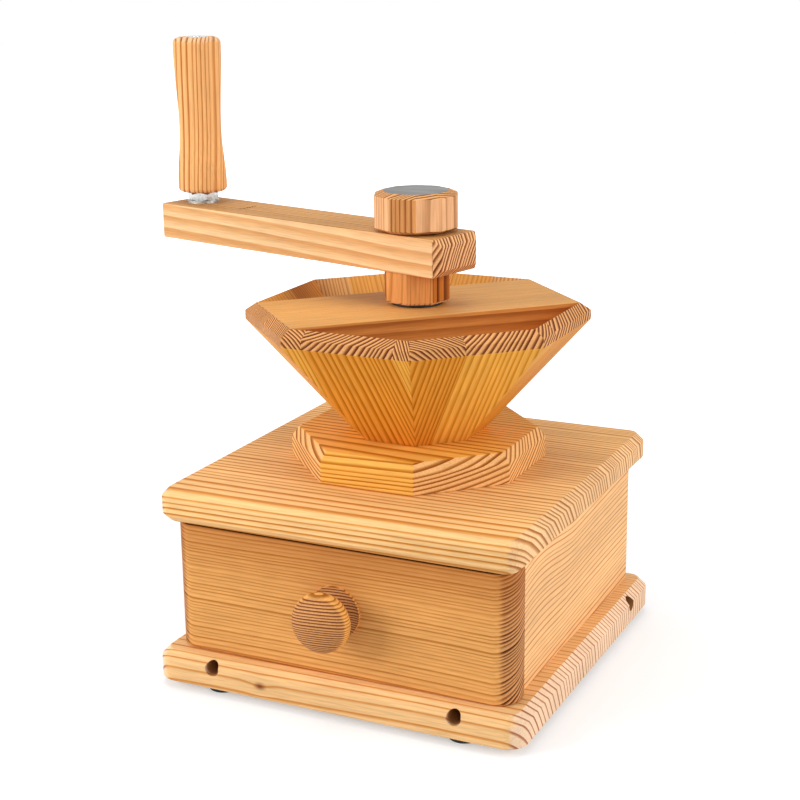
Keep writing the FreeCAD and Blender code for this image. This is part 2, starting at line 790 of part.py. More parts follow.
def make_stones():
    """The fixed stone above and the runner stone below, both dished and furrowed."""
    top = "stone_thickness"
    fixed = revolved("fixed_stone_disc", [
        ("eye_radius", top),
        ("eye_radius", "swallow_depth"),
        ("swallow_radius", "0"),
        ("stone_radius", "0"),
        ("stone_radius", top),
    ])
    furrows(fixed, "fixed", "0", True)
    holes = []
    bolts = []
    sizes = ("stone_bolt_radius", "stone_bolt_head", "stone_bolt_length")
    for number, (x, y) in enumerate(stone_bolt_places(), 1):
        seat = (x, y, "stone_thickness + seat_web")
        holes.append(screw("stone_hole_%d" % number, *sizes, seat, (0, 0, -1), "fit_gap"))
        seat = (x, "axis_back + " + y, "seat_top")
        bolts.append(screw("stone_bolt_%d" % number, *sizes, seat, (0, 0, -1)))
    stone = keep("fixed_stone", without("fixed_stone", fixed, holes))
    place(stone, "0", "axis_back", "fixed_bottom")
    keep("stone_bolts", group("stone_bolts", bolts))

    bore = "spindle_radius + running_gap"
    dish = "stone_thickness - dish_depth"
    runner = revolved("runner_stone_disc", [
        (bore, "0"),
        ("stone_radius", "0"),
        ("stone_radius", top),
        ("swallow_radius", top),
        ("dish_radius", dish),
        (bore, dish),
    ])
    furrows(runner, "runner", top, False)
    sizes = ("stone_bolt_radius", "stone_bolt_head", "runner_bolt_length")
    stone_holes = []
    plate_holes = [rod("carrier_bore", "thread_radius + fit_gap", "carrier_thickness")]
    bolts = []
    places = ring_places("stone_bolt_count", "runner_bolt_circle", "runner_bolt_turn")
    for number, (x, y) in enumerate(places, 1):
        seat = (x, y, "-carrier_thickness")
        stone_holes.append(screw("runner_hole_%d" % number, *sizes, seat, grow="fit_gap"))
        plate_holes.append(screw("carrier_hole_%d" % number, *sizes, (x, y, "0"), grow="fit_gap"))
        seat = (x, "axis_back + " + y, "carrier_bottom")
        bolts.append(screw("runner_bolt_%d" % number, *sizes, seat))
    stone = keep("runner_stone", without("runner_stone", runner, stone_holes))
    place(stone, "0", "axis_back", "runner_bottom")
    plate = rod("carrier_disc", "carrier_radius", "carrier_thickness")
    carrier = keep("stone_carrier", without("stone_carrier", plate, plate_holes))
    place(carrier, "0", "axis_back", "carrier_bottom")
    keep("runner_bolts", group("runner_bolts", bolts))


def make_spindle():
    """Steel shaft with two flats for the drive plate and a thread at each end."""
    shoulder = "runner_bottom - spindle_bottom"
    flats_end = "arm_bottom + drive_thickness + flats_above_plate - spindle_bottom"
    tip = "knob_bottom + spindle_into_knob - spindle_bottom"
    body = revolved("spindle", [
        ("0", "0"),
        ("thread_radius - thread_bevel", "0"),
        ("thread_radius", "thread_bevel"),
        ("thread_radius", shoulder),
        ("spindle_radius", shoulder),
        ("spindle_radius", flats_end),
        ("thread_radius", flats_end),
        ("thread_radius", tip + " - thread_bevel"),
        ("thread_radius - thread_bevel", tip),
        ("0", tip),
    ])
    far = "(spindle_radius + cut_past)"
    flats = []
    for sign in ("", "-"):
        near = sign + "spindle_flat"
        edge = sign + far
        flats.append([("-" + far, near), (far, near), (far, edge), ("-" + far, edge)])
    start = "arm_bottom - flats_below_plate - spindle_bottom"
    length = "drive_thickness + flats_below_plate + flats_above_plate"
    sketch = outline(body, "spindle_flat_plan", "XY_Plane", flats, start)
    pocket(body, "spindle_flats", sketch, length, towards_normal=True)
    keep("spindle", body)
    place(body, "0", "axis_back", "spindle_bottom", "arm_angle")
    nut = keep("spindle_nut", hex_nut("spindle_nut", "nut_height"))
    place(nut, "0", "axis_back", "nut_bottom")


def on_arm(thing, level, along="0"):
    """Sets a piece on the crank arm, at a height and a distance from the mill axis."""
    across = "(%s) * cos(arm_angle)" % along
    back = "axis_back + (%s) * sin(arm_angle)" % along
    return place(thing, across, back, level, "arm_angle")


def make_crank():
    """Arm, collar and the steel disc that turns the spindle."""
    body = new_body("arm_board")
    side = "arm_width / 2"
    corners = [("-arm_near_end", "-" + side), ("arm_far_end", "-" + side)]
    corners += [("arm_far_end", side), ("-arm_near_end", side)]
    plan = outline(body, "arm_plan", "XY_Plane", [corners])
    pad(body, "arm_pad", plan, "arm_thickness")
    ends = (-value("arm_near_end"), value("arm_far_end"))

    def on_end(edge):
        """Whether an edge bounds one of the arm's ends."""
        box = edge.BoundBox
        return box.XLength < NEAR and any(abs(box.XMin - end) < NEAR for end in ends)

    dress(body, "Chamfer", "arm_end_bevels", on_end, "arm_chamfer")
    slot_near = "slot_place - slot_width / 2"
    slot_far = "slot_place + slot_width / 2"
    half = "slot_length / 2"
    slot = [(slot_near, "-" + half), (slot_far, "-" + half), (slot_far, half), (slot_near, half)]
    sketch = outline(body, "arm_slot_plan", "XY_Plane", [slot], "arm_thickness")
    pocket(body, "arm_slot", sketch, "slot_depth", towards_normal=False)
    drive_screw_sizes = ("drive_screw_radius", "drive_screw_head", "drive_screw_length")
    holes = [
        rod("arm_bore", "spindle_radius + spindle_play", "arm_thickness"),
        rod("arm_recess", "drive_radius + fit_gap", "drive_thickness"),
        rod("arm_insert_bore", "insert_radius + fit_gap", "insert_length", "crank_radius"),
        rod("arm_bolt_bore", "thread_radius + fit_gap", "arm_thickness", "crank_radius"),
    ]
    plate_holes = []
    screws = []
    for number, sign in enumerate(("", "-"), 1):
        seat = (sign + "drive_screw_circle", "0", "0")
        holes.append(screw("arm_pilot_%d" % number, *drive_screw_sizes, seat, grow="fit_gap"))
        plate_holes.append(screw("drive_hole_%d" % number, *drive_screw_sizes, seat, grow="fit_gap"))
        screws.append(screw("drive_screw_%d" % number, *drive_screw_sizes, seat))
    arm = keep("crank_arm", without("crank_arm", body, holes))
    on_arm(arm, "arm_bottom")

    rings = [("collar_across / 2 - collar_chamfer", "0"), ("collar_across / 2", "collar_chamfer")]
    rings.append(("collar_across / 2", "collar_height"))
    block_shape = faceted("collar_block", "hopper_sides", rings)
    bore = rod("collar_bore", "spindle_radius + spindle_play", "collar_height")
    collar = keep("crank_collar", without("crank_collar", block_shape, [bore]))
    on_arm(collar, "collar_bottom")

    round_hole = rod("drive_round", "spindle_radius + fit_gap", "drive_thickness")
    wide = "(spindle_radius + cut_past)"
    flat = "spindle_flat + fit_gap"
    strip = block("drive_strip", ("-" + wide, wide), ("-(%s)" % flat, flat), ("0", "drive_thickness"))
    plate_holes.append(shared("drive_double_d", round_hole, strip))
    disc = rod("drive_disc", "drive_radius", "drive_thickness")
    plate = keep("drive_plate", without("drive_plate", disc, plate_holes))
    on_arm(plate, "arm_bottom")
    pair = keep("drive_plate_screws", group("drive_plate_screws", screws))
    on_arm(pair, "arm_bottom")


def make_grip():
    """Turned grip on its bolt, with the insert, washer and thin nut that hold the bolt."""
    insert = washer("arm_insert", "insert_radius", "thread_radius + fit_gap", "insert_length")
    on_arm(keep("arm_insert", insert), "arm_bottom", "crank_radius")
    ring = washer("grip_washer", "washer_radius", "thread_radius + fit_gap", "washer_thickness")
    on_arm(keep("grip_washer", ring), "arm_top", "crank_radius")
    nut = keep("grip_lock_nut", hex_nut("grip_lock_nut", "lock_nut_height"))
    on_arm(nut, "nut_base", "crank_radius")
    bind(nut, {"Placement.Rotation.Angle": "lock_nut_turn"})

    start = "arm_top - arm_thickness + insert_length - bolt_in_insert"
    shoulder = "shoulder_base - (%s)" % start
    shoulder_top = shoulder + " + shoulder_height"
    shank_end = "grip_top - cap_thickness - (%s)" % start
    tip_edge = "grip_top + tip_bevel_stand - (%s)" % start
    tip_end = "grip_top + tip_stand - (%s)" % start
    bolt = revolved("grip_bolt", [
        ("0", "0"),
        ("thread_radius - thread_bevel", "0"),
        ("thread_radius", "thread_bevel"),
        ("thread_radius", shoulder),
        ("shoulder_radius", shoulder),
        ("shoulder_radius", shoulder_top),
        ("shank_radius", shoulder_top),
        ("shank_radius", shank_end),
        ("tip_radius", shank_end),
        ("tip_radius", tip_edge),
        ("tip_bevel_radius", tip_end),
        ("0", tip_end),
    ])
    on_arm(keep("grip_bolt", bolt), start, "crank_radius")
    cap = washer("grip_cap_washer", "cap_radius", "tip_radius + fit_gap", "cap_thickness")
    on_arm(keep("grip_cap_washer", cap), "grip_top - cap_thickness", "crank_radius")

    bore = value("shank_radius + running_gap")
    length = value("grip_length")
    flare = Vec(value("grip_flare_radius"), 0, value("grip_flare_place"))
    waist = Vec(value("grip_waist_radius"), 0, value("grip_waist_place"))
    round_top = value("grip_top_round")
    shoulder_point = Vec(value("grip_top_radius"), 0, length - round_top)
    top_point = Vec(value("grip_top_radius") - round_top, 0, length)
    end_point = Vec(value("grip_end_radius"), 0, 0)
    diagonal = 0.5 ** 0.5
    round_middle = Vec(top_point.x + round_top * diagonal, 0, shoulder_point.z + round_top * diagonal)
    flare_drop = flare.x - end_point.x
    flare_middle = Vec(end_point.x + flare_drop * diagonal, 0, flare.z * (1 - diagonal))
    side = Part.BSplineCurve()
    up = Vec(0, 0, 1)
    side.interpolate([flare, waist, shoulder_point], InitialTangent=up, FinalTangent=up)
    counterbore = value("cap_radius + running_gap")
    floor = length - value("cap_thickness + running_gap")
    points = [top_point, Vec(counterbore, 0, length), Vec(counterbore, 0, floor), Vec(bore, 0, floor)]
    points += [Vec(bore, 0, 0), end_point]
    edges = [Part.LineSegment(points[number], points[number + 1]).toShape() for number in range(5)]
    edges.append(Part.Arc(end_point, flare_middle, flare).toShape())
    edges.append(side.toShape())
    edges.append(Part.Arc(shoulder_point, round_middle, top_point).toShape())
    profile = Part.Face(Part.Wire(Part.__sortEdges__(edges)))
    grip = doc.addObject("Part::Feature", "grip")
    grip.Shape = profile.revolve(Vec(0, 0, 0), Vec(0, 0, 1), 360)
    on_arm(keep("grip", grip), "grip_bottom", "crank_radius")


def make_adjusting_knob():
    """Ten-sided knob with a threaded insert below and a bare metal disc let into its top."""
    bore = "thread_radius + spindle_play"
    ring = washer("knob_washer", "knob_washer_radius", bore, "knob_washer_thickness")
    on_arm(keep("knob_washer", ring), "arm_top")
    rings = [("knob_flat - knob_low_in", "0"), ("knob_flat", "knob_low_up")]
    rings += [("knob_flat", "knob_height - knob_top_down"), ("knob_flat - knob_top_in", "knob_height")]
    shape = faceted("knob_block", "knob_sides", rings)
    headroom = "knob_insert_length + spindle_headroom - running_gap"
    holes = [
        rod("knob_insert_bore", "knob_insert_radius + fit_gap", "knob_insert_length"),
        rod("knob_thread_room", bore, headroom),
        rod("knob_disc_recess", "disc_radius + fit_gap", "disc_thickness", z="knob_height - disc_thickness"),
    ]
    knob = keep("adjusting_knob", without("adjusting_knob", shape, holes))
    place(knob, "0", "axis_back", "knob_bottom", "knob_turned - knob_half_angle")
    insert = washer("knob_insert", "knob_insert_radius", "thread_radius + fit_gap", "knob_insert_length")
    place(keep("knob_insert", insert), "0", "axis_back", "knob_bottom")
    disc = keep("knob_disc", rod("knob_disc", "disc_radius", "disc_thickness"))
    place(disc, "0", "axis_back", "knob_bottom + knob_height - disc_thickness")


def make_drawer():
    """Drawer front with rounded corners and the shallow box that catches the flour."""
    body = new_body("front_board")
    side = "drawer_width / 2"
    corners = [("-" + side, "0"), (side, "0"), (side, "front_thickness"), ("-" + side, "front_thickness")]
    plan = outline(body, "front_plan", "XY_Plane", [corners])
    pad(body, "front_pad", plan, "front_height")

    def outer_corner(edge):
        """Whether an edge is one of the two upright ones at the face."""
        return upright(edge) and edge.BoundBox.YMax < NEAR

    def outer_rim(edge):
        """Whether an edge lies level, at the face or its rounded corners."""
        box = edge.BoundBox
        return box.ZLength < NEAR and box.YMin < value("front_thickness") - NEAR

    dress(body, "Fillet", "front_corners", outer_corner, "front_corner")
    dress(body, "Chamfer", "front_rim", outer_rim, "front_bevel")
    place(body, y="front_face", z="drawer_bottom_level")

    level = "drawer_bottom_level"
    wall_top = "drawer_bottom_level + drawer_wall_height"
    inner = "drawer_half - drawer_board"
    floor_low = "drawer_bottom_level + drawer_floor_up"
    floor_high = floor_low + " + drawer_floor_thickness"
    groove_half = "drawer_half - drawer_board + drawer_groove"
    groove_y = ("front_back - drawer_groove", "drawer_back_face - drawer_board + drawer_groove")
    groove_x = ("-(%s)" % groove_half, groove_half)
    gap = "fit_gap"

    def groove(name):
        """The slot that the bottom board sits in."""
        across = ("%s - %s" % (groove_x[0], gap), "%s + %s" % (groove_x[1], gap))
        along = ("%s - %s" % (groove_y[0], gap), "%s + %s" % (groove_y[1], gap))
        up = ("%s - %s" % (floor_low, gap), "%s + %s" % (floor_high, gap))
        return block(name + "_groove", across, along, up)

    dowel_start = "front_back - drawer_dowel_in_front"
    dowels = []
    holes = {"front": [groove("front")], "left": [groove("left_side")], "right": [groove("right_side")]}
    for label, sign in LEFT_AND_RIGHT:
        x = "%s(drawer_half - drawer_board / 2)" % sign
        for height in ("drawer_dowel_low", "drawer_dowel_high"):
            name = "%s_%s" % (height, label)
            shared_sizes = ("drawer_dowel_length", x, dowel_start, level + " + " + height, (0, 1, 0))
            dowels.append(rod(name, "drawer_dowel_radius", *shared_sizes))
            for owner in ("front", label):
                hole_name = "%s_in_%s" % (name, owner)
                holes[owner].append(rod(hole_name, "drawer_dowel_radius + fit_gap", *shared_sizes))
    screw_sizes = ("screw_radius", "screw_head", "knob_screw_length")
    screw_seat = ("0", "front_back", "base_top + knob_level")
    holes["front"].append(screw("knob_screw_hole", *screw_sizes, screw_seat, (0, -1, 0), "fit_gap"))
    keep("drawer_front", without("drawer_front", body, holes["front"]))
    for label, sign in LEFT_AND_RIGHT:
        name = "drawer_%s_side" % label
        span = (inner, "drawer_half") if label == "right" else ("-drawer_half", "-(%s)" % inner)
        board = block(name + "_board", span, ("front_back", "drawer_back_face"), (level, wall_top))
        keep(name, without(name, board, holes[label]))
    across = ("-(%s)" % inner, inner)
    along = ("drawer_back_face - drawer_board", "drawer_back_face")
    board = block("drawer_back_board", across, along, (level, wall_top))
    keep("drawer_back", without("drawer_back", board, [groove("back")]))
    keep("drawer_bottom", block("drawer_bottom", groove_x, groove_y, (floor_low, floor_high)))
    keep("drawer_dowels", group("drawer_dowels", dowels))
    knob_screw = screw("drawer_knob_screw", *screw_sizes, screw_seat, (0, -1, 0))
    keep("drawer_knob_screw", knob_screw)


def make_drawer_knob():
    """Turned knob: flange with a hollow slope, neck and a flattened ball, bored for its screw."""
    edge = Vec(value("flange_foot_radius"), 0, value("flange_edge"))
    slope_end = Vec(value("neck_radius"), 0, value("flange_slope_end"))
    hollow = value("flange_hollow")
    bend = (edge + slope_end) * 0.5 - Vec(hollow, 0, hollow)

    half = value("ball_half_length")
    rim = value("ball_rim_radius")
    centre = Vec(0, 0, value("ball_centre"))
    rim_centre = centre + Vec(value("ball_radius") - rim, 0, 0)
    cap = (rim_centre.x ** 2 + half ** 2 - rim ** 2) / (2 * (half - rim))
    cap_offset = Vec(0, 0, cap - half)
    outward = (rim_centre - centre + cap_offset).normalize()
    joint = centre - cap_offset + outward * cap
    mirrored = Vec(joint.x, 0, 2 * centre.z - joint.z)
    neck = value("neck_radius")

    def cap_point(radius, side):
        """A point of the ball's upper or lower cap at a radius."""
        return centre + Vec(radius, 0, side * ((cap ** 2 - radius ** 2) ** 0.5 - cap_offset.z))

    ball_start = cap_point(neck, -1)
    pole = cap_point(0, 1)
    edges = [
        Part.LineSegment(Vec(0, 0, 0), Vec(edge.x, 0, 0)).toShape(),
        Part.LineSegment(Vec(edge.x, 0, 0), edge).toShape(),
        Part.Arc(edge, bend, slope_end).toShape(),
        Part.LineSegment(slope_end, ball_start).toShape(),
        Part.Arc(ball_start, cap_point((neck + joint.x) / 2, -1), mirrored).toShape(),
        Part.Arc(mirrored, rim_centre + Vec(rim, 0, 0), joint).toShape(),
        Part.Arc(joint, cap_point(joint.x / 2, 1), pole).toShape(),
        Part.LineSegment(pole, Vec(0, 0, 0)).toShape(),
    ]
    profile = Part.Face(Part.Wire(Part.__sortEdges__(edges)))
    turned = doc.addObject("Part::Feature", "drawer_knob_turning")
    turned.Shape = profile.revolve(Vec(0, 0, 0), Vec(0, 0, 1), 360)
    depth = "knob_screw_length - front_thickness + fit_gap"
    hole = rod("drawer_knob_bore", "screw_radius + fit_gap", depth)
    knob = keep("drawer_knob", without("drawer_knob", turned, [hole]))
    knob.Placement.Rotation = FreeCAD.Rotation(Vec(1, 0, 0), 90)
    links = {"Placement.Base.y": "front_face", "Placement.Base.z": "base_top + knob_level"}
    bind(knob, links)


make_feet()
make_base_plate()
make_case()
make_top_plate()
make_hopper_foot()
make_staves()
make_bridge()
make_stones()
make_spindle()
make_crank()
make_grip()
make_adjusting_knob()
make_drawer()
make_drawer_knob()
doc.recompute()

for thing in doc.Objects:
    if "Invalid" in thing.State or "Error" in thing.State:
        raise RuntimeError("%s failed: %s" % (thing.Label, thing.State))
for node in nodes:
    if node.Shape.isNull() or not node.Shape.isValid() or not node.Shape.Solids:
        raise RuntimeError(node.Label + " has no valid solid")

os.makedirs("parts", exist_ok=True)
for node in nodes:
    node.Shape.exportStep("parts/%s.step" % node.Label)
    print("%-20s %d solids %10.1f mm3" % (node.Label, len(node.Shape.Solids), node.Shape.Volume))
print(len(nodes), "nodes")
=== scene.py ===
import json
from math import cos, radians, sin

import bmesh
import bpy
import numpy as np
from mathutils import Matrix, Vector


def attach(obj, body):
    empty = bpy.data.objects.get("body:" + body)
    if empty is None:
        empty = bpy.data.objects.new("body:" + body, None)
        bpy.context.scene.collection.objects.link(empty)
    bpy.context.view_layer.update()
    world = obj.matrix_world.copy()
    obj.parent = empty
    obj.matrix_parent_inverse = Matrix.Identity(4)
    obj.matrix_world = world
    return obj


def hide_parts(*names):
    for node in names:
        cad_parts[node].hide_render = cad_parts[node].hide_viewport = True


# A hand grain mill of oiled larch: case with a flour drawer, eight-sided hopper, crank and
# stones. The script follows the mill as it is put together, from the table up.
# Lengths are written in millimetres where a name or comment says so, otherwise in metres.

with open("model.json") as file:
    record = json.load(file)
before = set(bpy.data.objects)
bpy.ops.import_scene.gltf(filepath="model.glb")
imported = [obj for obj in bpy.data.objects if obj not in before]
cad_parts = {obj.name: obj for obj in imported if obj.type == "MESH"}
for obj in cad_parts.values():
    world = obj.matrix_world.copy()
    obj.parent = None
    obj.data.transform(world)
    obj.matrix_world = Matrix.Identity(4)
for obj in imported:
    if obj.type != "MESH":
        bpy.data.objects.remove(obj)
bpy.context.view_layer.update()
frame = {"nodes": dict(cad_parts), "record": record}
scene = bpy.context.scene
scene.view_settings.view_transform = "Standard"


# Camera: a long lens from the front right, a little above, as the photograph was taken. The
# place and the turn were solved from the corners of the two square plates.
azimuth, elevation, roll = radians(25.66), radians(15.828), radians(-0.71)
camera_place = Vector((0.39572, -0.84124, 0.41851))
towards_camera = Vector((sin(azimuth) * cos(elevation), -cos(azimuth) * cos(elevation), sin(elevation)))
level_right = (-towards_camera).cross(Vector((0, 0, 1))).normalized()
level_up = level_right.cross(-towards_camera)
camera_right = cos(roll) * level_right + sin(roll) * level_up
camera_up = cos(roll) * level_up - sin(roll) * level_right
camera_turn = Matrix((camera_right, camera_up, towards_camera)).transposed().to_4x4()
lens = bpy.data.cameras.new("photo_lens")
lens.lens = 74.1
lens.sensor_width = 36
camera = bpy.data.objects.new("photo_camera", lens)
camera.matrix_world = Matrix.Translation(camera_place) @ camera_turn
scene.collection.objects.link(camera)
scene.camera = camera


# Floor and backdrop: a white sheet that takes the mill's soft shadow. It gives off a little
# light towards the lens and into reflections only, more of it far from the mill where the lamps
# don't reach, so it shows white all over and lights nothing.
def linear(code):
    """An sRGB hex colour as linear red, green, blue and an alpha of one."""
    parts = np.array([int(code[start:start + 2], 16) for start in (0, 2, 4)]) / 255
    curve = np.where(parts <= 0.04045, parts / 12.92, ((parts + 0.055) / 1.055) ** 2.4)
    return (*curve.tolist(), 1.0)


def add(tree, kind, links, **settings):
    """Adds a node with its settings; each input takes a value, a socket, or a node's first output."""
    node = tree.nodes.new("ShaderNode" + kind)
    for name, setting in settings.items():
        setattr(node, name, setting)
    for key, source in links.items():
        if isinstance(source, bpy.types.Node):
            source = source.outputs[0]
        if isinstance(source, bpy.types.NodeSocket):
            tree.links.new(source, node.inputs[key])
        else:
            node.inputs[key].default_value = source
    return node


def new_material(name):
    """An empty node material and its tree."""
    material = bpy.data.materials.new(name)
    material.use_nodes = True
    material.node_tree.nodes.clear()
    return material, material.node_tree


def grid_mesh(name, grids):
    """One mesh of quads over grids of points, each rows by columns by three and closed round its
    columns. A row whose points fall together becomes a single corner."""
    mesh = bpy.data.meshes.new(name)
    faces, first = [], 0
    for points in grids:
        rows, columns = points.shape[:2]
        row, column = np.meshgrid(np.arange(rows - 1), np.arange(columns), indexing="ij")
        here = row * columns + column + first
        beside = row * columns + (column + 1) % columns + first
        quads = np.stack([here, beside, beside + columns, here + columns], axis=-1)
        faces += quads.reshape(-1, 4).tolist()
        first += rows * columns
    mesh.from_pydata(np.concatenate([points.reshape(-1, 3) for points in grids]), [], faces)
    work = bmesh.new()
    work.from_mesh(mesh)
    bmesh.ops.remove_doubles(work, verts=work.verts, dist=1e-7)
    work.to_mesh(mesh)
    work.free()
    mesh.shade_smooth()
    return mesh


def seen_directly(tree):
    """One for rays from the lens, in reflections and through glass, and nought for the rays that
    carry light from one surface to another."""
    ray = add(tree, "LightPath", {})
    seen = add(tree, "Math", {0: ray.outputs["Is Camera Ray"], 1: ray.outputs["Is Glossy Ray"]},
               operation="MAXIMUM")
    return add(tree, "Math", {0: seen, 1: ray.outputs["Is Transmission Ray"]}, operation="MAXIMUM")


# Rings of points at growing distances, clockwise from above so that the faces look up.
floor_rings = np.array([0.0, 0.3, 0.8, 2.0, 6.0])[:, None]
floor_turns = np.linspace(2 * np.pi, 0, 48, endpoint=False)
floor_across = floor_rings * np.cos(floor_turns)
floor_points = np.stack([floor_across, floor_rings * np.sin(floor_turns), 0 * floor_across], axis=-1)
floor = bpy.data.objects.new("floor_sheet", grid_mesh("floor_sheet", [floor_points]))
scene.collection.objects.link(floor)
sheet_white, tree = new_material("white_backdrop_sheet")
spot = add(tree, "VectorMath", {0: add(tree, "TexCoord", {}).outputs["Object"]}, operation="LENGTH")
lift = add(tree, "MapRange", {"Value": spot.outputs["Value"], "From Min": 0.3, "From Max": 1.2,
                              "To Min": 0.4, "To Max": 0.95})
lift = add(tree, "Math", {0: seen_directly(tree), 1: lift}, operation="MULTIPLY")
matt = add(tree, "BsdfDiffuse", {"Color": linear("D8DBDE")})
glow = add(tree, "Emission", {"Color": linear("FFFFFF"), "Strength": lift})
both = add(tree, "AddShader", {0: matt, 1: glow})
add(tree, "OutputMaterial", {"Surface": both})
floor.data.materials.append(sheet_white)

# The world lights the mill at half strength and shows as pure white.
world = bpy.data.worlds.new("white_studio")
world.use_nodes = True
tree = world.node_tree
tree.nodes.clear()
strength = add(tree, "MapRange", {"Value": seen_directly(tree), "To Min": 0.5, "To Max": 1.0})
sky = add(tree, "Background", {"Color": linear("FFFFFF"), "Strength": strength.outputs[0]})
add(tree, "OutputWorld", {"Surface": sky})
scene.world = world


# Lamps: three large softboxes, one well to the left, one to the right and one overhead, so the
# facets that face sideways are brightest and the shadows stay faint.
def softbox(name, place, target, width, watts):
    """A square white area lamp that faces a target."""
    lamp = bpy.data.lights.new(name, "AREA")
    lamp.shape = "SQUARE"
    lamp.size = width
    lamp.energy = watts
    box = bpy.data.objects.new(name, lamp)
    look = (Vector(target) - Vector(place)).to_track_quat("-Z", "Y")
    box.matrix_world = Matrix.Translation(place) @ look.to_matrix().to_4x4()
    scene.collection.objects.link(box)


softbox("left_softbox", place=(-1.8, -1.7, 1.05), target=(0, 0, 0.15), width=1.4, watts=43)
softbox("right_softbox", place=(2.2, -0.1, 0.9), target=(0, 0, 0.15), width=1.4, watts=27)
softbox("overhead_softbox", place=(-0.3, 0.2, 2.4), target=(0, 0, 0.1), width=1.6, watts=15)


# Rubber feet: four black discs moulded in soft rubber, screwed under the base plate. Rubber is
# dull and almost black, with a fine grain that breaks up its sheen.
def softened(node, name, body, edge, least=0.0):
    """A copy of a CAD node with its sharp edges eased to a width in mm: merged, its flat faces
    joined, then bevelled, but for edges shorter than a least length in mm, such as those round
    a bore. The copy stands for the node and rides on the node's body."""
    flat, sharp = radians(0.5), radians(30)
    mesh = frame["nodes"][node].data.copy()
    mesh.name = name
    mesh.materials.clear()
    work = bmesh.new()
    work.from_mesh(mesh)
    bmesh.ops.remove_doubles(work, verts=work.verts, dist=1e-6)
    bmesh.ops.dissolve_limit(work, angle_limit=flat, verts=work.verts, edges=work.edges)
    weight = work.edges.layers.float.new("bevel_weight_edge")
    for seam in work.edges:
        if seam.calc_face_angle(0.0) > sharp:
            seam[weight] = float(seam.calc_length() > least / 1000)
            seam.smooth = bool(seam[weight])
    work.to_mesh(mesh)
    work.free()
    if "custom_normal" in mesh.attributes:
        mesh.attributes.remove(mesh.attributes["custom_normal"])
    mesh.shade_smooth()
    piece = bpy.data.objects.new(name, mesh)
    scene.collection.objects.link(piece)
    ease = piece.modifiers.new("eased_edges", "BEVEL")
    ease.width = edge / 1000
    ease.segments = 2
    ease.limit_method = "WEIGHT"
    ease.use_clamp_overlap = False
    ease.harden_normals = True
    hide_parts(node)
    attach(piece, body)
    return piece


def finish_node(node, material):
    """Gives a CAD node that stays as it is its material."""
    mesh = frame["nodes"][node].data
    mesh.materials.clear()
    mesh.materials.append(material)


# Noise seldom leaves this span, so patterns stretch over it. A Mix node's sockets go by number:
# its share is 0, its colours are 6 and 7 with the result at 2, and its plain values are 2 and 3
# with the result at 0.
noise_span = {"From Min": 0.3, "From Max": 0.7}


def mottled(name, colours, scale, roughness, bump, metallic=0.0, stretch=(1, 1, 1)):
    """A material whose colour and roughness wander between two values with a noise of a grain
    in mm, stretched along an axis, and whose surface rises with it by a height in mm."""
    material, tree = new_material(name)
    place = add(tree, "TexCoord", {}).outputs["Object"]
    spread = tuple(1000 / (scale * share) for share in stretch)
    place = add(tree, "VectorMath", {0: place, 1: spread}, operation="MULTIPLY")
    grain = add(tree, "TexNoise", {"Vector": place, "Scale": 1.0, "Detail": 3.0})
    shade = add(tree, "MapRange", {"Value": grain, **noise_span})
    colour = add(tree, "Mix", {0: shade, 6: linear(colours[0]), 7: linear(colours[1])}, data_type="RGBA")
    gloss = add(tree, "MapRange", {"Value": grain, "To Min": roughness[0], "To Max": roughness[1],
                                   **noise_span})
    rise = add(tree, "Bump", {"Height": grain, "Strength": 1.0, "Distance": bump / 1000})
    shader = add(tree, "BsdfPrincipled", {"Base Color": colour.outputs[2], "Roughness": gloss,
                                          "Metallic": metallic, "Normal": rise})
    add(tree, "OutputMaterial", {"Surface": shader})
    return material


rubber = mottled("moulded_black_rubber", ("121212", "1E1D1C"), 0.8, (0.62, 0.8), 0.03)
feet = softened("rubber_feet", "rubber_feet_moulded", "housing", edge=0.4)
feet.data.materials.append(rubber)


# Growth rings: every board is sawn out of a round log, so its lines are the log's yearly rings
# where its faces cross them. Larch has wide pale early wood that darkens to a thin orange-brown
# late line with a sharp outer edge, darkest on end grain; beech and birch have faint rings.
def log_noise(tree, place, across, along, seed, detail):
    """Noise in a log's own frame, whose lumps measure so many mm across the grain and along it."""
    stretch = (1 / across, 1 / across, 1 / along)
    place = add(tree, "VectorMath", {0: place, 1: stretch}, operation="MULTIPLY")
    return add(tree, "TexNoise", {"Vector": place, "W": seed, "Scale": 1.0, "Detail": detail},
               noise_dimensions="4D")


larch = bpy.data.node_groups.new("larch_growth_rings", "ShaderNodeTree")
for name, kind, default in (
    ("Place", "Vector", None),
    ("End", "Float", 0.0),
    ("Ring", "Float", 2.0),
    ("Tight", "Float", 0.0),
    ("Seed", "Float", 0.0),
    ("Wave", "Float", 2.0),
    ("Push", "Float", 0.0),
    ("Start", "Float", 0.45),
    ("Vary", "Float", 1.4),
    ("Faint", "Float", 0.6),
    ("Early", "Color", None),
    ("Late", "Color", None),
    ("End early", "Color", None),
    ("End late", "Color", None),
):
    socket = larch.interface.new_socket(name=name, in_out="INPUT", socket_type="NodeSocket" + kind)
    if default is not None:
        socket.default_value = default
for name, kind in (("Color", "Color"), ("Roughness", "Float"), ("Height", "Float")):
    larch.interface.new_socket(name=name, in_out="OUTPUT", socket_type="NodeSocket" + kind)
tree = larch
given = tree.nodes.new("NodeGroupInput").outputs
place, seed = given["Place"], given["Seed"]
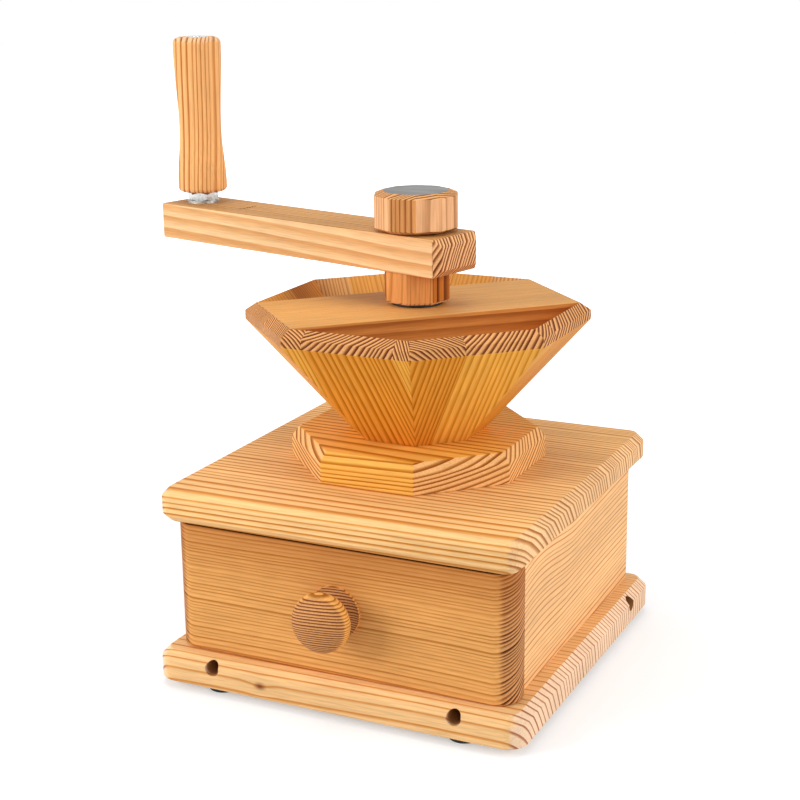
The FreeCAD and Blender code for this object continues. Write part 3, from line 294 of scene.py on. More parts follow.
# The log bends slowly, with short bends a quarter as long that count for less. Their sum strays
# about a quarter either side of its middle, so it is taken times four, then times the wave in mm.
quick_share = 0.16
bend_middle = 0.5 * (1 + quick_share)
bend_gain = 4.0
slow = log_noise(tree, place, across=90, along=300, seed=seed, detail=1.0)
quick = log_noise(tree, place, across=22, along=80, seed=seed, detail=2.0)
bend = add(tree, "Math", {0: quick, 1: quick_share, 2: slow}, operation="MULTIPLY_ADD")
bend = add(tree, "Math", {0: bend, 1: bend_middle}, operation="SUBTRACT")
bend = add(tree, "Math", {0: bend, 1: bend_gain}, operation="MULTIPLY")
bend = add(tree, "Math", {0: bend, 1: given["Wave"], 2: given["Push"]}, operation="MULTIPLY_ADD")
across = add(tree, "VectorMath", {0: place, 1: (1, 1, 0)}, operation="MULTIPLY")
radius = add(tree, "VectorMath", {0: across}, operation="LENGTH")
radius = add(tree, "Math", {0: radius.outputs["Value"], 1: bend}, operation="ADD")
# An old tree grows more slowly, so the rings close up by a share for each mm towards the bark.
slower = add(tree, "Math", {0: radius, 1: given["Tight"], 2: 1.0}, operation="MULTIPLY_ADD")
radius = add(tree, "Math", {0: radius, 1: slower}, operation="MULTIPLY")
years = add(tree, "Math", {0: radius, 1: given["Ring"]}, operation="DIVIDE")
# Wet and dry spells: runs of wide and of narrow rings about five years long.
spell = add(tree, "Math", {0: years, 1: 1 / 5, 2: seed}, operation="MULTIPLY_ADD")
spell = add(tree, "TexNoise", {"W": spell, "Scale": 1.0, "Detail": 1.5}, noise_dimensions="1D")
years = add(tree, "Math", {0: spell, 1: given["Vary"], 2: years}, operation="MULTIPLY_ADD")
season = add(tree, "Math", {0: years}, operation="FRACT")
year = add(tree, "Math", {0: years}, operation="FLOOR")
year = add(tree, "Math", {0: year, 1: seed}, operation="ADD")
vigour = add(tree, "TexWhiteNoise", {"W": year}, noise_dimensions="1D")
# The late wood starts at a share of the year, is darkest at nine tenths of it and then stops.
darkest, stop = 0.9, 0.94
summer = add(tree, "MapRange", {"Value": season, "From Min": given["Start"], "From Max": darkest},
             interpolation_type="SMOOTHSTEP")
winter = add(tree, "MapRange", {"Value": season, "From Min": stop, "From Max": 1.0,
                                "To Min": 1.0, "To Max": 0.0})
late = add(tree, "Math", {0: summer, 1: 1.2}, operation="POWER")
late = add(tree, "Math", {0: late, 1: winter}, operation="MULTIPLY")
depth = add(tree, "MapRange", {"Value": vigour.outputs["Value"], "To Min": given["Faint"], "To Max": 1.0})
late = add(tree, "Math", {0: late, 1: depth}, operation="MULTIPLY")
# Fibres about 0.3 mm thick, drawn 0.8 mm thick and 16 mm long so that they show.
fibre = log_noise(tree, place, across=0.8, along=16, seed=seed, detail=2.0)
# The tone drifts over a hand's breadth along the grain and a few centimetres across.
drift = log_noise(tree, place, across=30, along=160, seed=seed, detail=1.0)
end = add(tree, "MapRange", {"Value": given["End"], "From Min": 0.3, "From Max": 0.6},
          interpolation_type="SMOOTHSTEP")
# Oil deepens the tones in between, as in a glaze: they are mixed by their fourth roots. On the
# end grain the late wood soaks up more oil and looks wider.
glaze = 4.0
tones = ("Early", "Late", "End early", "End late")
roots = [add(tree, "Gamma", {"Color": given[tone], "Gamma": 1 / glaze}) for tone in tones]
late_end = add(tree, "Math", {0: late, 1: 0.7}, operation="POWER")
side_colour = add(tree, "Mix", {0: late, 6: roots[0], 7: roots[1]}, data_type="RGBA")
end_colour = add(tree, "Mix", {0: late_end, 6: roots[2], 7: roots[3]}, data_type="RGBA")
colour = add(tree, "Mix", {0: end, 6: side_colour.outputs[2], 7: end_colour.outputs[2]}, data_type="RGBA")
colour = add(tree, "Gamma", {"Color": colour.outputs[2], "Gamma": glaze})
lightness = add(tree, "MapRange", {"Value": fibre, "To Min": 0.87, "To Max": 1.11, **noise_span})
tone = add(tree, "MapRange", {"Value": drift, "To Min": 0.9, "To Max": 1.07, **noise_span})
lightness = add(tree, "Math", {0: lightness, 1: tone}, operation="MULTIPLY")
colour = add(tree, "VectorMath", {0: colour, "Scale": lightness}, operation="SCALE")
# The sheen follows the fibres and a little the rings, and late wood stands above the rest.
least_gloss, fibre_gloss, late_gloss, late_height = 0.46, 0.16, 0.06, 0.5
gloss = add(tree, "Math", {0: fibre, 1: fibre_gloss, 2: least_gloss}, operation="MULTIPLY_ADD")
gloss = add(tree, "Math", {0: late, 1: late_gloss, 2: gloss}, operation="MULTIPLY_ADD")
height = add(tree, "Math", {0: late, 1: late_height, 2: fibre}, operation="MULTIPLY_ADD")
given_out = tree.nodes.new("NodeGroupOutput")
for name, source in (("Color", colour), ("Roughness", gloss), ("Height", height)):
    tree.links.new(source.outputs[0], given_out.inputs[name])

# The end grain of a board that gives no tones of its own.
plain_ends = {"end_early": "F4C292", "end_late": "8E5026"}


def ring_pattern(tree, pith, grain, push=None, **look):
    """The growth rings of a log whose pith passes a point in mm along a direction, as a colour,
    a roughness and a height. The log's frame has its Z on the pith, the rings are its distance
    from there in ring widths, and end grain shows where a face looks along it."""
    point = add(tree, "TexCoord", {})
    turn = Vector(grain).normalized().to_track_quat("Z", "Y").to_euler()
    start = Vector(pith) / 1000
    log = add(tree, "Mapping", {"Vector": point.outputs["Object"], "Location": start, "Rotation": turn,
                                "Scale": (0.001, 0.001, 0.001)}, vector_type="TEXTURE")
    facing = add(tree, "VectorMath", {0: point.outputs["Normal"], 1: Vector(grain).normalized()},
                 operation="DOT_PRODUCT")
    facing = add(tree, "Math", {0: facing.outputs["Value"]}, operation="ABSOLUTE")
    rings = tree.nodes.new("ShaderNodeGroup")
    rings.node_tree = larch
    tree.links.new(log.outputs[0], rings.inputs["Place"])
    tree.links.new(facing.outputs[0], rings.inputs["End"])
    if push is not None:
        tree.links.new(push.outputs[0], rings.inputs["Push"])
    for name, setting in {**plain_ends, **look}.items():
        socket = rings.inputs[name.replace("_", " ").capitalize()]
        socket.default_value = linear(setting) if isinstance(setting, str) else setting
    return [rings.outputs[name] for name in ("Color", "Roughness", "Height")]


def oiled(tree, colour, roughness, height):
    """Oiled wood: a satin surface whose sheen and relief, 0.06 mm high, follow the fibres."""
    rise = add(tree, "Bump", {"Height": height, "Strength": 1.0, "Distance": 0.06 / 1000})
    shader = add(tree, "BsdfPrincipled", {"Base Color": colour, "Roughness": roughness, "Normal": rise,
                                          "Specular IOR Level": 0.1})
    add(tree, "OutputMaterial", {"Surface": shader})


def sawn_board(name, pith, grain, **look):
    """The wood of a board sawn from one log, of whatever kind its colours say."""
    material, tree = new_material(name)
    oiled(tree, *ring_pattern(tree, pith, grain, **look))
    return material


def swell(tree, centre, reach, height, squeeze=(1, 1, 1)):
    """How far the rings give way round a knot or a hump: a height in mm at its centre, in mm,
    falling smoothly to nothing at its reach. Squeeze makes it narrower along an axis."""
    place = add(tree, "TexCoord", {}).outputs["Object"]
    off = add(tree, "VectorMath", {0: place, 1: Vector(centre) / 1000}, operation="SUBTRACT")
    off = add(tree, "VectorMath", {0: off, 1: Vector(squeeze) * 1000}, operation="MULTIPLY")
    off = add(tree, "VectorMath", {0: off}, operation="LENGTH")
    return add(tree, "MapRange", {"Value": off.outputs["Value"], "From Max": reach,
                                  "To Min": height, "To Max": 0.0}, interpolation_type="SMOOTHSTEP")


def side_by_side(tree, share, first, second):
    """Two woods, each a colour, a roughness and a height, mixed as one: the first where the share
    is 0, the second where it is 1."""
    colour = add(tree, "Mix", {0: share, 6: first[0], 7: second[0]}, data_type="RGBA")
    gloss = add(tree, "Mix", {0: share, 2: first[1], 3: second[1]})
    height = add(tree, "Mix", {0: share, 2: first[2], 3: second[2]})
    return colour.outputs[2], gloss.outputs[0], height.outputs[0]


# Base plate: one flat-sawn larch board with a bevelled upper edge and a small knot in its front
# edge, round which the rings bend. Its ends, left and right, show the rings as arcs. The clamp
# holes are bored and left unsanded, so oil has soaked in and made them darker; their insides
# are also painted dark as shade.
base_larch, tree = new_material("oiled_larch_base_plate")
knot_place, knot_squeeze = (-43.5, -113.5, 12.4), (0.6, 0.1, 1)
shove = swell(tree, knot_place, reach=9, height=1.3, squeeze=knot_squeeze)
heart = swell(tree, knot_place, reach=3.3, height=1.0, squeeze=knot_squeeze)
wood = ring_pattern(tree, (0, -150, -32), (1, 0.01, 0.014), push=shove, ring=6.2, tight=0.0017,
                    seed=1.3, wave=2.1, start=0.68, early="F6C68A", late="CC7C34",
                    end_early="FBD6B2", end_late="9C5636")
knot_wood = (linear("82421E"), 0.5, 0.6)
wood = side_by_side(tree, heart, wood, knot_wood)
# Each hole is darkened, for its oil-soaked wall and as painted shade, to 0.2 mm past its wall, from 0.5 mm
# outside its mouth, in full 3 mm inside.
bore_wall_and_shade_wood = (linear("A87446"), 0.8, 0.5)
darkened_past, darkened_outside, darkened_inside = 0.2, 0.5, 3
for mount in frame["record"]["mounts"]:
    if mount["kind"] == "bore":
        middle, way = Vector(mount["pos_m"]), Vector(mount["axis"])
        across = Vector((1, 1, 1)) - Vector([abs(part) for part in way])
        half = mount["dims"]["length_mm"] / 2
        reach = (mount["dims"]["r_mm"] + darkened_past) / 1000
        place = add(tree, "TexCoord", {}).outputs["Object"]
        off = add(tree, "VectorMath", {0: place, 1: middle}, operation="SUBTRACT")
        depth = add(tree, "VectorMath", {0: off, 1: -way}, operation="DOT_PRODUCT")
        off = add(tree, "VectorMath", {0: off, 1: across}, operation="MULTIPLY")
        off = add(tree, "VectorMath", {0: off}, operation="LENGTH")
        near = add(tree, "Math", {0: off.outputs["Value"], 1: reach}, operation="LESS_THAN")
        within = add(tree, "MapRange", {"Value": depth.outputs["Value"],
                                        "From Min": -(half + darkened_outside) / 1000,
                                        "From Max": -(half - darkened_inside) / 1000})
        bored = add(tree, "Math", {0: near, 1: within}, operation="MULTIPLY")
        wood = side_by_side(tree, bored, wood, bore_wall_and_shade_wood)
oiled(tree, *wood)
base = softened("base_plate", "base_plate_board", "housing", edge=0.3)
base.data.materials.append(base_larch)


# Case: two side panels and a back panel of flat-sawn larch, their grain running level. The
# panels are paler and pinker than the plates, with thin reddish lines that hump and wander.
side_look = {"ring": 2.9, "start": 0.66, "early": "FAC68A", "late": "BE6834"}
for node, pith, grain, seed, wave, hump in (
    ("right_side_panel", (62, 0, -70), (0, 1, 0.05), 7.1, 2.2, (101, -55, 88)),
    ("left_side_panel", (-52, 0, -70), (0, 1, -0.05), 11.7, 2.6, (-101, 10, 55)),
    ("back_panel", (0, 52, -66), (1, 0, 0.05), 15.2, 2.6, (25, 101, 70)),
):
    material, tree = new_material("oiled_larch_" + node)
    humped = swell(tree, hump, reach=62, height=-7)
    oiled(tree, *ring_pattern(tree, pith, grain, push=humped, seed=seed, wave=wave, **side_look))
    panel = softened(node, node + "_board", "housing", edge=0.5)
    panel.data.materials.append(material)


# Screws, bolts, nuts and washers: zinc-plated steel, light grey and bright, with the faint
# cloudiness of the plating. Wood screws hold the feet, the case and the boards from below.
def screw_grid(place, way, head, shank, length, pitch, slots, tip):
    """Points of a countersunk screw, in mm. Rows run from the middle of the head's face over its
    rim, down the cone and along the shank to the tip; columns go round. The recess has that many
    slots round the middle: its floor rises to the rim and its depth fades beside each slot.
    The thread is a ridge one pitch apart that climbs once round the shank each turn, and the last
    stretch, a share of the length called the tip, narrows to the end."""
    # Shares of the head's radius: half a slot's width, its soft wall, where it ends, how long it
    # fades there, the depth of its floor in the middle and how steeply the floor rises.
    slot_half, slot_wall, slot_end, slot_fade, deep, steep = 0.24, 0.1, 0.6, 0.16, 0.62, 0.5
    # Shares of the shank's radius: the bare shank and the thread's root. Of a pitch: half a ridge.
    bare, root, ridge_half = 0.86, 0.72, 0.32
    turns = np.linspace(0, 2 * np.pi, 48, endpoint=False)
    round_row = 0 * turns[None]
    face = np.linspace(0, 0.94, 15)[:, None] * head + round_row
    aside = np.abs(np.sin(slots * turns / 2)) * face * 2 / slots
    within_slot = np.clip((slot_half * head - aside) / (slot_wall * head), 0, 1)
    within_rim = np.clip((slot_end * head - face) / (slot_fade * head), 0, 1)
    depth = within_slot * within_rim * (deep * head - steep * face)
    cone = np.array([[head, 0.02 * head], [shank * bare, head - shank * bare]])
    along = np.arange(cone[-1, 1] + pitch / 6, length - 0.01, pitch / 6)
    climb = (along[:, None] / pitch - turns / (2 * np.pi)) % 1
    ridge = np.clip(1 - np.abs(climb - 0.5) / ridge_half, 0, 1)
    taper = np.clip((length - along) / (tip * length), 0, 1)[:, None]
    threaded = np.clip((along - 0.25 * length) / pitch, 0, 1)[:, None]
    core = shank * (bare - (bare - root) * threaded) * taper
    screwed = core + (shank * taper - core) * ridge * threaded
    radius = np.concatenate([face, cone[:, :1] + round_row, screwed, round_row])
    down = np.concatenate([depth, cone[:, 1:] + round_row, along[:, None] + round_row, length + round_row])
    local = np.stack([radius * np.cos(turns), radius * np.sin(turns), down], axis=-1)
    turn = np.array(Vector((0, 0, 1)).rotation_difference(Vector(way)).to_matrix())
    return (local @ turn.T + np.array(place)) / 1000


# The mill's axis stands so many mm behind the middle of the plates.
mill_back = 7


def round_mill(count, reach, start):
    """Places in mm, spread evenly on a circle round the mill's axis, from a start in degrees."""
    steps = [radians(start + 360 * step / count) for step in range(count)]
    return [(reach * cos(step), mill_back + reach * sin(step)) for step in steps]


zinc = mottled("zinc_plated_steel", ("BDBFBE", "E6E7E4"), 3.0, (0.16, 0.3), 0.004, metallic=1.0)
up, down, forward = (0, 0, 1), (0, 0, -1), (0, -1, 0)
feet_spots = [(x, y) for x in (-75.5, 75.5) for y in (-99.5, 99.5)]
panel_spots = [(-91, 40), (91, 40), (-91, -60), (91, -60), (-45, 91), (45, 91)]
for node, body, spots, level, way, sizes in (
    # Places from above, the height of the head's face, the way the tip points, and the sizes:
    # head and shank are radii, and all are in mm but for the slots and the tip's share.
    ("feet_screws", "housing", feet_spots, 0.7, up,
     {"head": 3.8, "shank": 1.75, "length": 10.5, "pitch": 1.4, "slots": 4, "tip": 0.3}),
    ("base_screws", "housing", panel_spots, 4.5, up,
     {"head": 4.2, "shank": 2.25, "length": 45.0, "pitch": 2.0, "slots": 4, "tip": 0.12}),
    ("foot_board_screws", "housing", round_mill(4, reach=60.7, start=22.5), 100.0, up,
     {"head": 3.9, "shank": 2.0, "length": 30.0, "pitch": 1.8, "slots": 4, "tip": 0.16}),
    ("stone_bolts", "housing", round_mill(3, reach=30, start=90), 137.0, down,
     {"head": 4.8, "shank": 2.5, "length": 16.0, "pitch": 0.8, "slots": 6, "tip": 0.03}),
    ("runner_bolts", "spindle", round_mill(3, reach=20, start=30), 78.4, up,
     {"head": 4.8, "shank": 2.5, "length": 14.0, "pitch": 0.8, "slots": 6, "tip": 0.03}),
    ("drive_plate_screws", "crank", round_mill(2, reach=10.3, start=-15), 232.3, up,
     {"head": 2.8, "shank": 1.5, "length": 12.0, "pitch": 1.2, "slots": 4, "tip": 0.25}),
    ("drawer_knob_screw", "drawer", [(0, -84.5)], 61.0, forward,
     {"head": 4.2, "shank": 2.25, "length": 33.0, "pitch": 2.0, "slots": 4, "tip": 0.15}),
):
    grids = [screw_grid((*spot, level), way, **sizes) for spot in spots]
    screws = bpy.data.objects.new(node + "_threaded", grid_mesh(node + "_threaded", grids))
    scene.collection.objects.link(screws)
    screws.data.materials.append(zinc)
    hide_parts(node)
    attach(screws, body)
for node in ("drive_plate", "spindle", "stone_carrier", "spindle_nut"):
    finish_node(node, zinc)


# Dowels: beech pins glued between the panels, the top plate and the boards of the drawer, all
# hidden. Beech is pinkish tan with short fine rays.
beech = mottled("planed_beech", ("D9AE82", "EBC79F"), 1.0, (0.45, 0.6), 0.02, stretch=(1, 8, 1))
for node in ("top_dowels", "back_dowels", "drawer_dowels"):
    finish_node(node, beech)


# Top plate: a square larch board like the base, bevelled above and below. It is sawn nearer to
# the bark, so wide bands cross its top and close lines its front edge.
top_larch = sawn_board("oiled_larch_top_plate", (0, -146, 23), (1, -0.012, 0.01), ring=4.2, tight=0.0006,
                       seed=22.4, wave=1.6, vary=2.2, early="F8C888", late="C47428",
                       end_early="F9CA94", end_late="A2602C")
top = softened("top_plate", "top_plate_board", "housing", edge=0.5)
top.data.materials.append(top_larch)


# Hopper foot: an eight-sided larch board with a sloping shoulder, screwed on from below. It is
# a deeper orange than the plates and carries the fixed stone in a recess.
foot_larch = sawn_board("oiled_larch_hopper_foot", (0, -75, 250), (1, 0.01, 0.02), ring=2.8, seed=31.9,
                        wave=1.3, early="F8BC5C", late="B4660E", end_early="F8C07E", end_late="8E4810")
foot = softened("hopper_foot", "hopper_foot_board", "housing", edge=0.5)
foot.data.materials.append(foot_larch)


# Grinding stones: discs of ceramic-bonded corundum, off-white with grey and tan grit of about
# one millimetre. Grit makes them rough all over.
stone = mottled("bonded_corundum_stone", ("A9A296", "DAD5CA"), 1.1, (0.8, 0.95), 0.12)
for node in ("fixed_stone", "runner_stone"):
    finish_node(node, stone)


# Hopper: eight mitred staves, each glued up from laths of different logs with the grain running
# up the slope. Oil makes them deep orange, the corn that runs down has rubbed them tan inside,
# and the sawn rim shows dark and pale end grain.
lath_tones = {
    "deep": {"early": "ECA240", "late": "B86806"},
    "light": {"early": "F4B652", "late": "CB811F"},
    "cream": {"early": "F0C37F", "late": "AC6823"},
}
lath_look = {"wave": 0.8, "start": 0.3, "faint": 0.75, "end_early": "EAAA6A", "end_late": "5A2308"}
rubbed_tan, most_worn = linear("E89A62"), 0.35
stave_laths = (
    # For each lath of a stave: where it starts in mm from the stave's middle, how far its rings
    # lean over through the board, their width, a seed and a tone.
    ((-50, 1.0, 2.2, 41.0, "light"), (-20, 1.1, 2.8, 43.0, "deep")),
    ((-50, 0.5, 2.0, 47.0, "cream"), (8, -0.9, 2.6, 49.0, "light")),
    ((-50, -0.7, 1.8, 53.0, "cream"), (-12, 0.6, 2.4, 55.0, "light"), (16, 1.2, 2.0, 56.0, "cream")),
    ((-50, 0.3, 2.6, 59.0, "light"), (14, -0.8, 1.8, 61.0, "cream")),
    ((-50, 0.2, 2.2, 67.0, "deep"), (-6, 0.8, 2.4, 69.0, "light")),
    ((-50, -0.4, 1.3, 71.0, "light"), (2, -1.1, 1.9, 73.0, "deep")),
    ((-50, -0.9, 1.8, 79.0, "light"), (-26, 1.15, 2.3, 81.0, "deep"), (29, -1.0, 1.7, 80.0, "light")),
    ((-50, -1.15, 1.6, 83.0, "deep"), (-6.4, 1.2, 2.5, 89.0, "light")),
)
# The walls lean out by an angle with this sine and cosine. The middle of a wall is so far from
# the mill's axis and the table, and the pith of its laths so far from there, in mm.
lean_sine, lean_cosine = 0.648, 0.762
wall_reach, wall_height, log_reach = 55, 175, 95
for number, laths in enumerate(stave_laths):
    turn = radians(360 / len(stave_laths) * number)
    outward = Vector((cos(turn), sin(turn), 0))
    sideways = Vector((-sin(turn), cos(turn), 0))
    through = outward * lean_cosine - Vector((0, 0, lean_sine))
    grain = outward * lean_sine + Vector((0, 0, lean_cosine))
    middle = outward * wall_reach + Vector((0, mill_back, wall_height))
    name = "hopper_stave_%d" % (number + 1)
    material, tree = new_material("oiled_larch_" + name)
    point = add(tree, "TexCoord", {})
    aside = add(tree, "VectorMath", {0: point.outputs["Object"], 1: sideways}, operation="DOT_PRODUCT")
    wood = None
    for edge, lean, ring, seed, tone in laths:
        pith = middle - (sideways + through * lean).normalized() * log_reach
        lath = ring_pattern(tree, pith, grain, ring=ring, seed=seed, **lath_look, **lath_tones[tone])
        joint = (middle.dot(sideways) + edge) / 1000
        side = add(tree, "Math", {0: aside.outputs["Value"], 1: joint}, operation="GREATER_THAN")
        wood = side_by_side(tree, side, wood, lath) if wood else lath
    inward = add(tree, "VectorMath", {0: point.outputs["Normal"], 1: -outward}, operation="DOT_PRODUCT")
    worn = add(tree, "MapRange", {"Value": inward.outputs["Value"], "From Min": 0.3, "From Max": 0.6,
                                  "To Min": 0.0, "To Max": most_worn})
    rubbed = add(tree, "Mix", {0: worn, 6: wood[0], 7: rubbed_tan}, data_type="RGBA")
    oiled(tree, rubbed.outputs[2], *wood[1:])
    stave = softened(name, name + "_board", "housing", edge=0.15)
    stave.data.materials.append(material)


# Bridge board: quarter-sawn larch across the hopper, glued between two opposite pairs of
# staves; it carries the crank's bearing. Its top shows close straight lines, its edges broad
# brown bands.
def two_cuts(name, way, along, flat, edge, near=(0.6, 0.8)):
    """Oiled larch whose faces that look along a way show one cut of the log, called flat, and the
    others another, called edge. Near gives the cosines between which one passes into the other."""
    material, tree = new_material(name)
    point = add(tree, "TexCoord", {})
    facing = add(tree, "VectorMath", {0: point.outputs["Normal"], 1: Vector(way).normalized()},
                 operation="DOT_PRODUCT")
    facing = add(tree, "Math", {0: facing.outputs["Value"]}, operation="ABSOLUTE")
    facing = add(tree, "MapRange", {"Value": facing, "From Min": near[0], "From Max": near[1]})
    cuts = [ring_pattern(tree, grain=along, **cut) for cut in (edge, flat)]
    oiled(tree, *side_by_side(tree, facing, *cuts))
    return material


bridge_larch = two_cuts("oiled_larch_bridge", way=(0, 0, 1), along=(1, 1, 0),
                        flat={"pith": (75, -68, 202), "ring": 1.5, "seed": 97.2, "wave": 1.0,
                              "early": "ECB26A", "late": "B46E2C"},
                        edge={"pith": (60, -53, 120), "ring": 5.0, "seed": 98.4, "wave": 1.5, "start": 0.1,
                              "early": "CE8C48", "late": "A05E28"})
bridge = softened("bridge_board", "bridge_board_planed", "housing", edge=0.6)
bridge.data.materials.append(bridge_larch)


# Bush: turned from black acetal plastic and pressed into the bridge; its flange shows as the
# black ring under the crank. Acetal has a soft even sheen.
acetal = mottled("turned_black_acetal", ("151515", "1F1F1F"), 2.0, (0.34, 0.42), 0.005)
bush = softened("bridge_bush", "bridge_bush_turned", "housing", edge=0.3)
bush.data.materials.append(acetal)


# Crank collar: an eight-sided larch block with upright grain, glued under the arm. Its left
# facets are pale and plain, the right ones striped, dense and dark.
collar_larch = two_cuts("oiled_larch_collar", way=(0.996, -0.087, 0), along=(0.01, 0.02, 1),
                        flat={"pith": (-37, 31, 220), "ring": 1.5, "seed": 101.3, "wave": 0.7,
                              "start": 0.35, "vary": 0.5, "early": "BE702A", "late": "481E06"},
                        edge={"pith": (-24, -38, 220), "ring": 2.6, "seed": 103.1, "wave": 1.0,
                              "start": 0.6, "vary": 2.6, "faint": 0.1, "early": "EAA05C", "late": "B87434"})
collar = softened("crank_collar", "crank_collar_block", "crank", edge=0.3)
collar.data.materials.append(collar_larch)


# Crank arm: a straight larch board with a saw slot, its pith side towards the back, so broad
# pale bands cross the front and slanting lines the end. The slot's sawn walls are painted near
# black, as painted shade inside the slot.
arm_turn = radians(165)
arm_way = Vector((cos(arm_turn), sin(arm_turn), 0))
arm_side = arm_way.cross(Vector((0, 0, 1)))
arm_pith = Vector((0, mill_back, 192)) + arm_side * log_reach
arm_grain = arm_way + Vector((0, 0, 0.01))
arm_larch, tree = new_material("oiled_larch_crank_arm")
point = add(tree, "TexCoord", {})
facing = add(tree, "VectorMath", {0: point.outputs["Normal"], 1: arm_side}, operation="DOT_PRODUCT")
facing = add(tree, "Math", {0: facing.outputs["Value"]}, operation="ABSOLUTE")
facing = add(tree, "MapRange", {"Value": facing, "From Min": 0.74, "From Max": 0.84})
top_cut = ring_pattern(tree, arm_pith, arm_grain, ring=2.4, seed=107.7, wave=1.0, start=0.3,
                       early="DEAA6A", late="8E5220", end_early="F6BC84", end_late="6C3412")
side_cut = ring_pattern(tree, arm_pith, arm_grain, ring=3.3, seed=108.1, wave=1.6, start=0.0, vary=2.0,
                        faint=0.3, early="FCCE98", late="E0A062")
wood = side_by_side(tree, facing, top_cut, side_cut)
# The slot's walls, painted near black as shade, are what lies near its floor and more than 0.4 mm below the
# arm's top.
arm_top, slot_deep, slot_reach = 254.5, 4, 137.5
slot_shade_wood = (linear("2A140A"), 0.8, 0.5)
slot_floor = arm_way * slot_reach + Vector((0, mill_back, arm_top - slot_deep))
near_floor = add(tree, "Math", {0: swell(tree, slot_floor, reach=9, height=1.0), 1: 0.0},
                 operation="GREATER_THAN")
level = add(tree, "SeparateXYZ", {0: point.outputs["Object"]})
below = add(tree, "Math", {0: level.outputs["Z"], 1: (arm_top - 0.4) / 1000}, operation="LESS_THAN")
sawn = add(tree, "Math", {0: near_floor, 1: below}, operation="MULTIPLY")
oiled(tree, *side_by_side(tree, sawn, wood, slot_shade_wood))
arm = softened("crank_arm", "crank_arm_board", "crank", edge=0.6)
arm.data.materials.append(arm_larch)


# Fasteners of the crank: zinc-plated washers, thin lock nut and bolt, duller than the screws
# from handling, and brass inserts screwed into the wood. Turned brass is yellow with fine tool
# marks.
dull_zinc = mottled("handled_zinc_plated_steel", ("AEB1B1", "DFE1DF"), 2.0, (0.3, 0.42), 0.004,
                    metallic=1.0)
for node in ("grip_washer", "grip_lock_nut", "grip_bolt", "grip_cap_washer", "knob_washer"):
    finish_node(node, dull_zinc)
brass = mottled("turned_brass", ("B8903F", "D9B565"), 1.2, (0.28, 0.4), 0.01, metallic=1.0)
for node in ("arm_insert", "knob_insert"):
    finish_node(node, brass)


# Grip: larch turned on a lathe with its grain upright, so that lines of mixed widths run up it.
# It spins on its bolt, well out on the crank arm.
crank_reach, grip_middle = 178, 310
grip_axis = arm_way * crank_reach + Vector((0, mill_back, grip_middle))
grip_pith = grip_axis + Vector((-22.5, -19.5, 0))
# Ring and tight together make a year 4 mm wide at 20 mm from the pith and 2 mm wide at 40 mm.
grip_larch = sawn_board("oiled_larch_grip", grip_pith, (0.03, -0.02, 1), ring=85.0, tight=0.5, seed=114.6,
                        wave=0.6, vary=2.6, early="F5B776", late="AE5C20", start=0.5, faint=0.4)
finish_node("grip", grip_larch)


# Adjusting knob: a ten-sided larch block with a bevelled top, screwed on the spindle, its front
# and back facets painted darker as shade. A bare disc of brushed steel is let into its top.
knob_look = {"pith": (-62, 52, 265), "ring": 2.0, "seed": 119.4, "wave": 0.8, "vary": 2.4,
             "end_early": "E8AA6C", "end_late": "582A0C"}
# Painted shade: both cuts share one ring pattern; the flat one, on the front and back facets, is a darker
# copy standing for their shade.
knob_larch = two_cuts("oiled_larch_adjusting_knob", way=(0.105, -0.995, 0), along=(0.01, 0, 1),
                      flat={**knob_look, "early": "D29155", "late": "8E5026"},
                      edge={**knob_look, "early": "F1B784", "late": "B27C50"}, near=(0.86, 0.92))
knob = softened("adjusting_knob", "adjusting_knob_block", "knob", edge=0.4, least=2.6)
knob.data.materials.append(knob_larch)
brushed = mottled("brushed_steel_disc", ("424444", "8C8D8A"), 3.0, (0.34, 0.46), 0.004, metallic=1.0,
                  stretch=(8, 1, 1))
finish_node("knob_disc", brushed)


# Drawer: a wide larch front with rounded upright corners, a beech box doweled to it and a birch
# plywood bottom in a groove.
front_larch, tree = new_material("oiled_larch_drawer_front")
wood = ring_pattern(tree, (0, -39, -47), (1, 0.008, 0.01), ring=1.9, seed=127.1, wave=2.0, vary=2.4,
                    faint=0.3, start=0.3, early="ECAC64", late="B97431", end_early="D8985E",
                    end_late="4A2008")
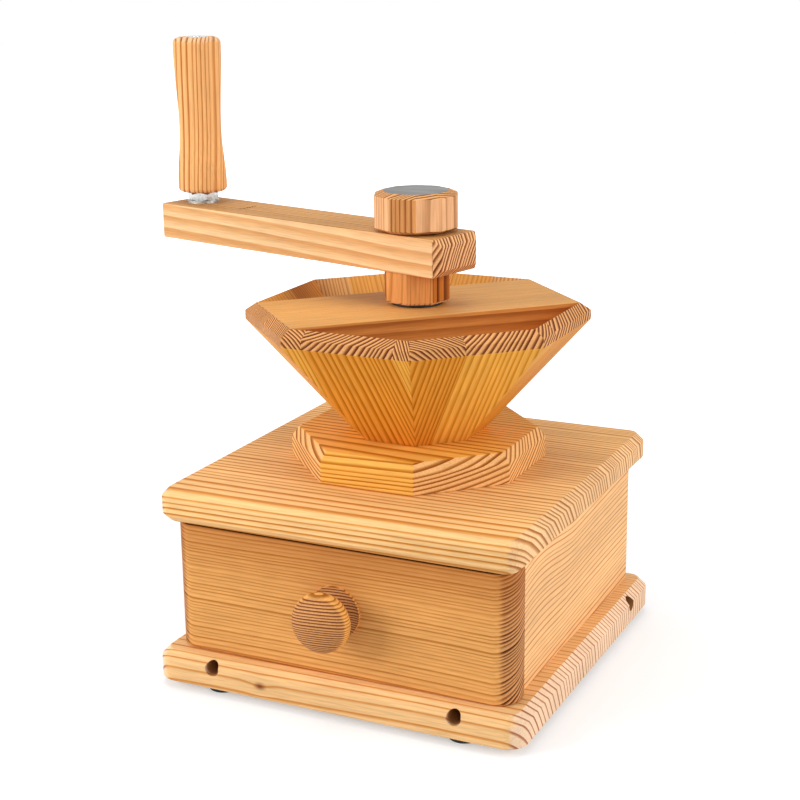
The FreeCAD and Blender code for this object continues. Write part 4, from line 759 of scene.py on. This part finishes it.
# The front is darker towards its top, most of all a little right of the middle.
top_dark_wood = (linear("A85C1C"), 0.55, 0.5)
darker = swell(tree, (20, -100, 108), reach=52, height=0.65, squeeze=(0.12, 0.2, 1))
wood = side_by_side(tree, darker, wood, top_dark_wood)
# Painted shade: the front 3 mm of its top edge is painted dark, as the shadow line under the plate.
painted_shade_wood = (linear("54300F"), 0.8, 0.5)
shade_line_full, shade_line_gone = -101.2, -98.5
point = add(tree, "TexCoord", {})
upward = add(tree, "SeparateXYZ", {0: point.outputs["Normal"]})
upward = add(tree, "MapRange", {"Value": upward.outputs["Z"], "From Min": 0.6, "From Max": 0.9})
behind = add(tree, "SeparateXYZ", {0: point.outputs["Object"]})
# The painted shadow line: up-facing faces at the very front, fading out 3 mm behind it.
shade_line = add(tree, "MapRange", {"Value": behind.outputs["Y"], "From Min": shade_line_full / 1000,
                               "From Max": shade_line_gone / 1000, "To Min": 1.0, "To Max": 0.0})
shade_line = add(tree, "Math", {0: upward, 1: shade_line}, operation="MULTIPLY")
oiled(tree, *side_by_side(tree, shade_line, wood, painted_shade_wood))
drawer_front = softened("drawer_front", "drawer_front_board", "drawer", edge=0.5)
drawer_front.data.materials.append(front_larch)
for node, pith, grain, seed in (
    ("drawer_left_side", (-58, 0, -60), (0, 1, 0.02), 141.2),
    ("drawer_right_side", (44, 0, -75), (0, 1, 0.03), 143.8),
    ("drawer_back", (0, 30, -64), (1, 0, 0.02), 147.5),
):
    box_beech = sawn_board("planed_beech_" + node, pith, grain, ring=2.6, seed=seed, wave=1.8, start=0.2,
                           early="E9C197", late="CC9A6C", end_early="DDB086", end_late="B47E52")
    finish_node(node, box_beech)
birch = sawn_board("birch_plywood", (30, 0, -8), (0.03, 1, 0), ring=3.4, seed=151.0, wave=5.0, start=0.1,
                   early="F0DBB6", late="DDBE8E", end_early="E2C79C", end_late="B08A5C")
finish_node("drawer_bottom", birch)


# Drawer knob: a larch ball and flange turned in one, its grain running front to back, so the
# front of the ball is reddish end grain.
ball_larch = sawn_board("oiled_larch_drawer_knob", (3, -110, 4), (0, 1, 0.02), ring=1.5, seed=131.6,
                        wave=0.6, early="F6B462", late="A0601E", end_early="DA9A5E", end_late="5C2A12",
                        start=0.4)
finish_node("drawer_knob", ball_larch)
